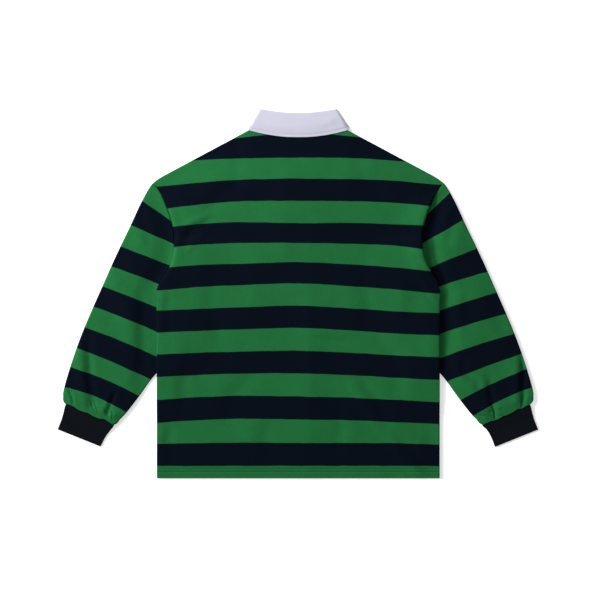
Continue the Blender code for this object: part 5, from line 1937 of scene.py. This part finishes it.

# %% [markdown]
# ## Thread and buttons
# Sewing thread is twisted, so a fine slanted wave roughens it and darkens the grooves of its twist with
# painted shade.
# The white thread is also greyer than the collar's cloth, as painted shade along its stitch lines. The
# buttons are a cloudy pale plastic with fine scratches. Then every piece gets its one material.

# %% Thread and button materials
def sewing_thread(name, colour):
    material, tree, shader = new_material(name, 0.6, 0.1, 0.3)
    room = room_place(tree)
    twist = tree.nodes.new("ShaderNodeTexWave")
    twist.bands_direction = "DIAGONAL"
    twist.inputs["Scale"].default_value = 900.0
    twist.inputs["Distortion"].default_value = 1.0
    link(tree, room, twist.inputs["Vector"])
    dyed = add_group(tree, DYE, Colour=colour, Place=room, Patches=0.2, Specks=0.3)
    # Painted shade: the thread's colour is darker in the grooves of its twist.
    painted_shade = gain_and_base(tree, twist.outputs["Fac"], 0.35, 0.8)
    link(tree, scaled(tree, dyed.outputs["Colour"], painted_shade), shader.inputs["Base Color"])
    link(tree, map_range(tree, twist.outputs["Fac"], 0.0, 1.0, 0.5, 0.75), shader.inputs["Roughness"])
    add_bumps(tree, shader, (twist.outputs["Fac"], 0.0001, 0.5))
    return material


def button_plastic():
    material, tree, shader = new_material("button_plastic_pearl", 0.3, 0.0, 0.5)
    room = room_place(tree)
    cloud = noise(tree, room, 220.0, 3.0, 0.6)
    colour = mix_colour(tree, map_range(tree, cloud, 0.3, 0.7), (0.52, 0.53, 0.56), (0.74, 0.73, 0.70))
    link(tree, colour, shader.inputs["Base Color"])
    scratches = noise(tree, room, 2200.0, 4.0, 0.7)
    link(tree, map_range(tree, scratches, 0.3, 0.8, 0.22, 0.5), shader.inputs["Roughness"])
    add_bumps(tree, shader, (scratches, 0.00003, 0.3))
    return material


PEARL = button_plastic()
GREEN_THREAD = sewing_thread("green_thread", (0.0035, 0.0260, 0.0100))
# The white thread is greyer than the collar's cloth: painted shade that makes its stitch lines read dark.
WHITE_THREAD_AND_PAINTED_SHADE = sewing_thread("white_thread_and_painted_shade", (0.37, 0.37, 0.44))


def finish_with(material, *pieces):
    """Gives some pieces one material and no other."""
    for piece in pieces:
        piece.data.materials.clear()
        piece.data.materials.append(material)


finish_with(JERSEY, back_cloth, front_cloth, *sleeves.values(), *allowances)
finish_with(RIB, *cuffs.values())
finish_with(TWILL, collar, *bands.values())
finish_with(PEARL, *buttons)
finish_with(GREEN_THREAD, *hem_thread)
finish_with(WHITE_THREAD_AND_PAINTED_SHADE, collar_thread, placket_thread, hole_thread, button_thread)
print("thread and buttons:", [material.name for material in (PEARL, GREEN_THREAD, WHITE_THREAD_AND_PAINTED_SHADE)])

# %% [markdown]
# ## Flat sizes
# A sheet of cloth keeps the size it was cut to. The flat sizes of the pieces are not given here.

print("flat sizes not given")

# %% [markdown]
# ## Floor
# The shirt was photographed on plain white. A floor that is only painted white comes out grey, so this one
# also glows a little to the camera, as a light table does. The glow lights nothing, so the cloth keeps its
# shadows.

# %% Floor
FLOOR_GLOW = 0.45
FLOOR_HALF = 6000.0
FLOOR_GAP = 0.2


def pale_floor():
    """A wide square just below the shirt, white where the camera sees it."""
    mesh = bpy.data.meshes.new("floor")
    half = FLOOR_HALF * MM
    corners = [(-half, -half, 0.0), (half, -half, 0.0), (half, half, 0.0), (-half, half, 0.0)]
    mesh.from_pydata(corners, [], [(0, 1, 2, 3)])
    floor = bpy.data.objects.new("floor", mesh)
    floor.location = (0.0, 0.0, -FLOOR_GAP * MM)
    bpy.context.scene.collection.objects.link(floor)
    material = bpy.data.materials.new("pale_floor")
    material.use_nodes = True
    tree = material.node_tree
    shader = tree.nodes["Principled BSDF"]
    shader.inputs["Specular IOR Level"].default_value = 0.1
    room = room_place(tree)
    soft = noise(tree, room, 3.0, 2.0)
    link(tree, mix_colour(tree, soft, (0.93, 0.93, 0.93), (0.95, 0.95, 0.95)), shader.inputs["Base Color"])
    link(tree, map_range(tree, soft, 0.0, 1.0, 0.8, 0.95), shader.inputs["Roughness"])
    seen = tree.nodes.new("ShaderNodeLightPath").outputs["Is Camera Ray"]
    amount = math_node(tree, "MULTIPLY", seen, FLOOR_GLOW)
    glow = mix_colour(tree, amount, (0.0, 0.0, 0.0), (1.0, 1.0, 1.0))
    link(tree, glow, shader.inputs["Emission Color"])
    shader.inputs["Emission Strength"].default_value = 1.0
    mesh.materials.append(material)
    return floor


floor = pale_floor()
print("floor half width:", FLOOR_HALF, "mm")

# %% [markdown]
# ## Light
# The folds in the photo are lit softly from the left, and their far sides stay dark. So one wide soft light
# stands low on the left and casts the shadow beside the right armhole, a smaller window light stands at the
# upper left, and a dim even room fills the rest. Past the floor the camera sees a white room.

# %% Light the shirt
SKY = 0.335
WINDOW_PLACE = (-0.95, 1.1, 0.85)
WINDOW_POWER = 19.0
WINDOW_SIZE = 0.5
SIDE_PLACE = (-1.6, 0.3, 0.76)
SIDE_STRENGTH = 2.75
SIDE_SOFTNESS = math.radians(12.0)
scene = bpy.context.scene
world = bpy.data.worlds.new("pale_room")
scene.world = world
world.use_nodes = True
room_tree = world.node_tree
room_light = room_tree.nodes["Background"]
room_light.inputs["Color"].default_value = (1.0, 1.0, 1.0, 1.0)
seen_by_camera = room_tree.nodes.new("ShaderNodeLightPath").outputs["Is Camera Ray"]
room_strength = math_node(room_tree, "MULTIPLY_ADD", seen_by_camera, 1.0 - SKY, SKY)
link(room_tree, room_strength, room_light.inputs["Strength"])


def add_lamp(name, kind, energy, location, size):
    """A soft lamp that faces the middle of the shirt."""
    data = bpy.data.lights.new(name, kind)
    data.energy = energy
    if kind == "AREA":
        data.shape = "DISK"
        data.size = size
    else:
        data.angle = size
    lamp = bpy.data.objects.new(name, data)
    lamp.location = location
    lamp.rotation_mode = "QUATERNION"
    lamp.rotation_quaternion = (-Vector(location)).to_track_quat("-Z", "Y")
    scene.collection.objects.link(lamp)
    return lamp


window = add_lamp("window_light", "AREA", WINDOW_POWER, WINDOW_PLACE, WINDOW_SIZE)
side_light = add_lamp("even_light", "SUN", SIDE_STRENGTH, SIDE_PLACE, SIDE_SOFTNESS)
scene.view_settings.view_transform = "Standard"
scene.view_settings.look = "None"
print("lamps:", window.name, "and", side_light.name)

# %% [markdown]
# ## Camera
# The photo looks straight down. The lens is chosen so that, at the level of the cloth, the frame is exactly
# as wide as the photo's frame is at the shirt's scale. The camera stands high, so its view is nearly
# parallel.

# %% Camera
VIEW_WIDTH = 1229.7
VIEW_CENTRE = (3.6, -12.3)
CAMERA_HEIGHT = 3200.0
CLOTH_LEVEL = 5.0
SENSOR_WIDTH = 36.0
camera_data = bpy.data.cameras.new("straight_down")
camera_data.sensor_width = SENSOR_WIDTH
camera_data.lens = SENSOR_WIDTH * (CAMERA_HEIGHT - CLOTH_LEVEL) / VIEW_WIDTH
camera_data.clip_end = 20.0
camera = bpy.data.objects.new("straight_down", camera_data)
camera.location = (VIEW_CENTRE[0] * MM, VIEW_CENTRE[1] * MM, CAMERA_HEIGHT * MM)
scene.collection.objects.link(camera)
scene.camera = camera
print("lens:", round(camera_data.lens, 1), "mm")
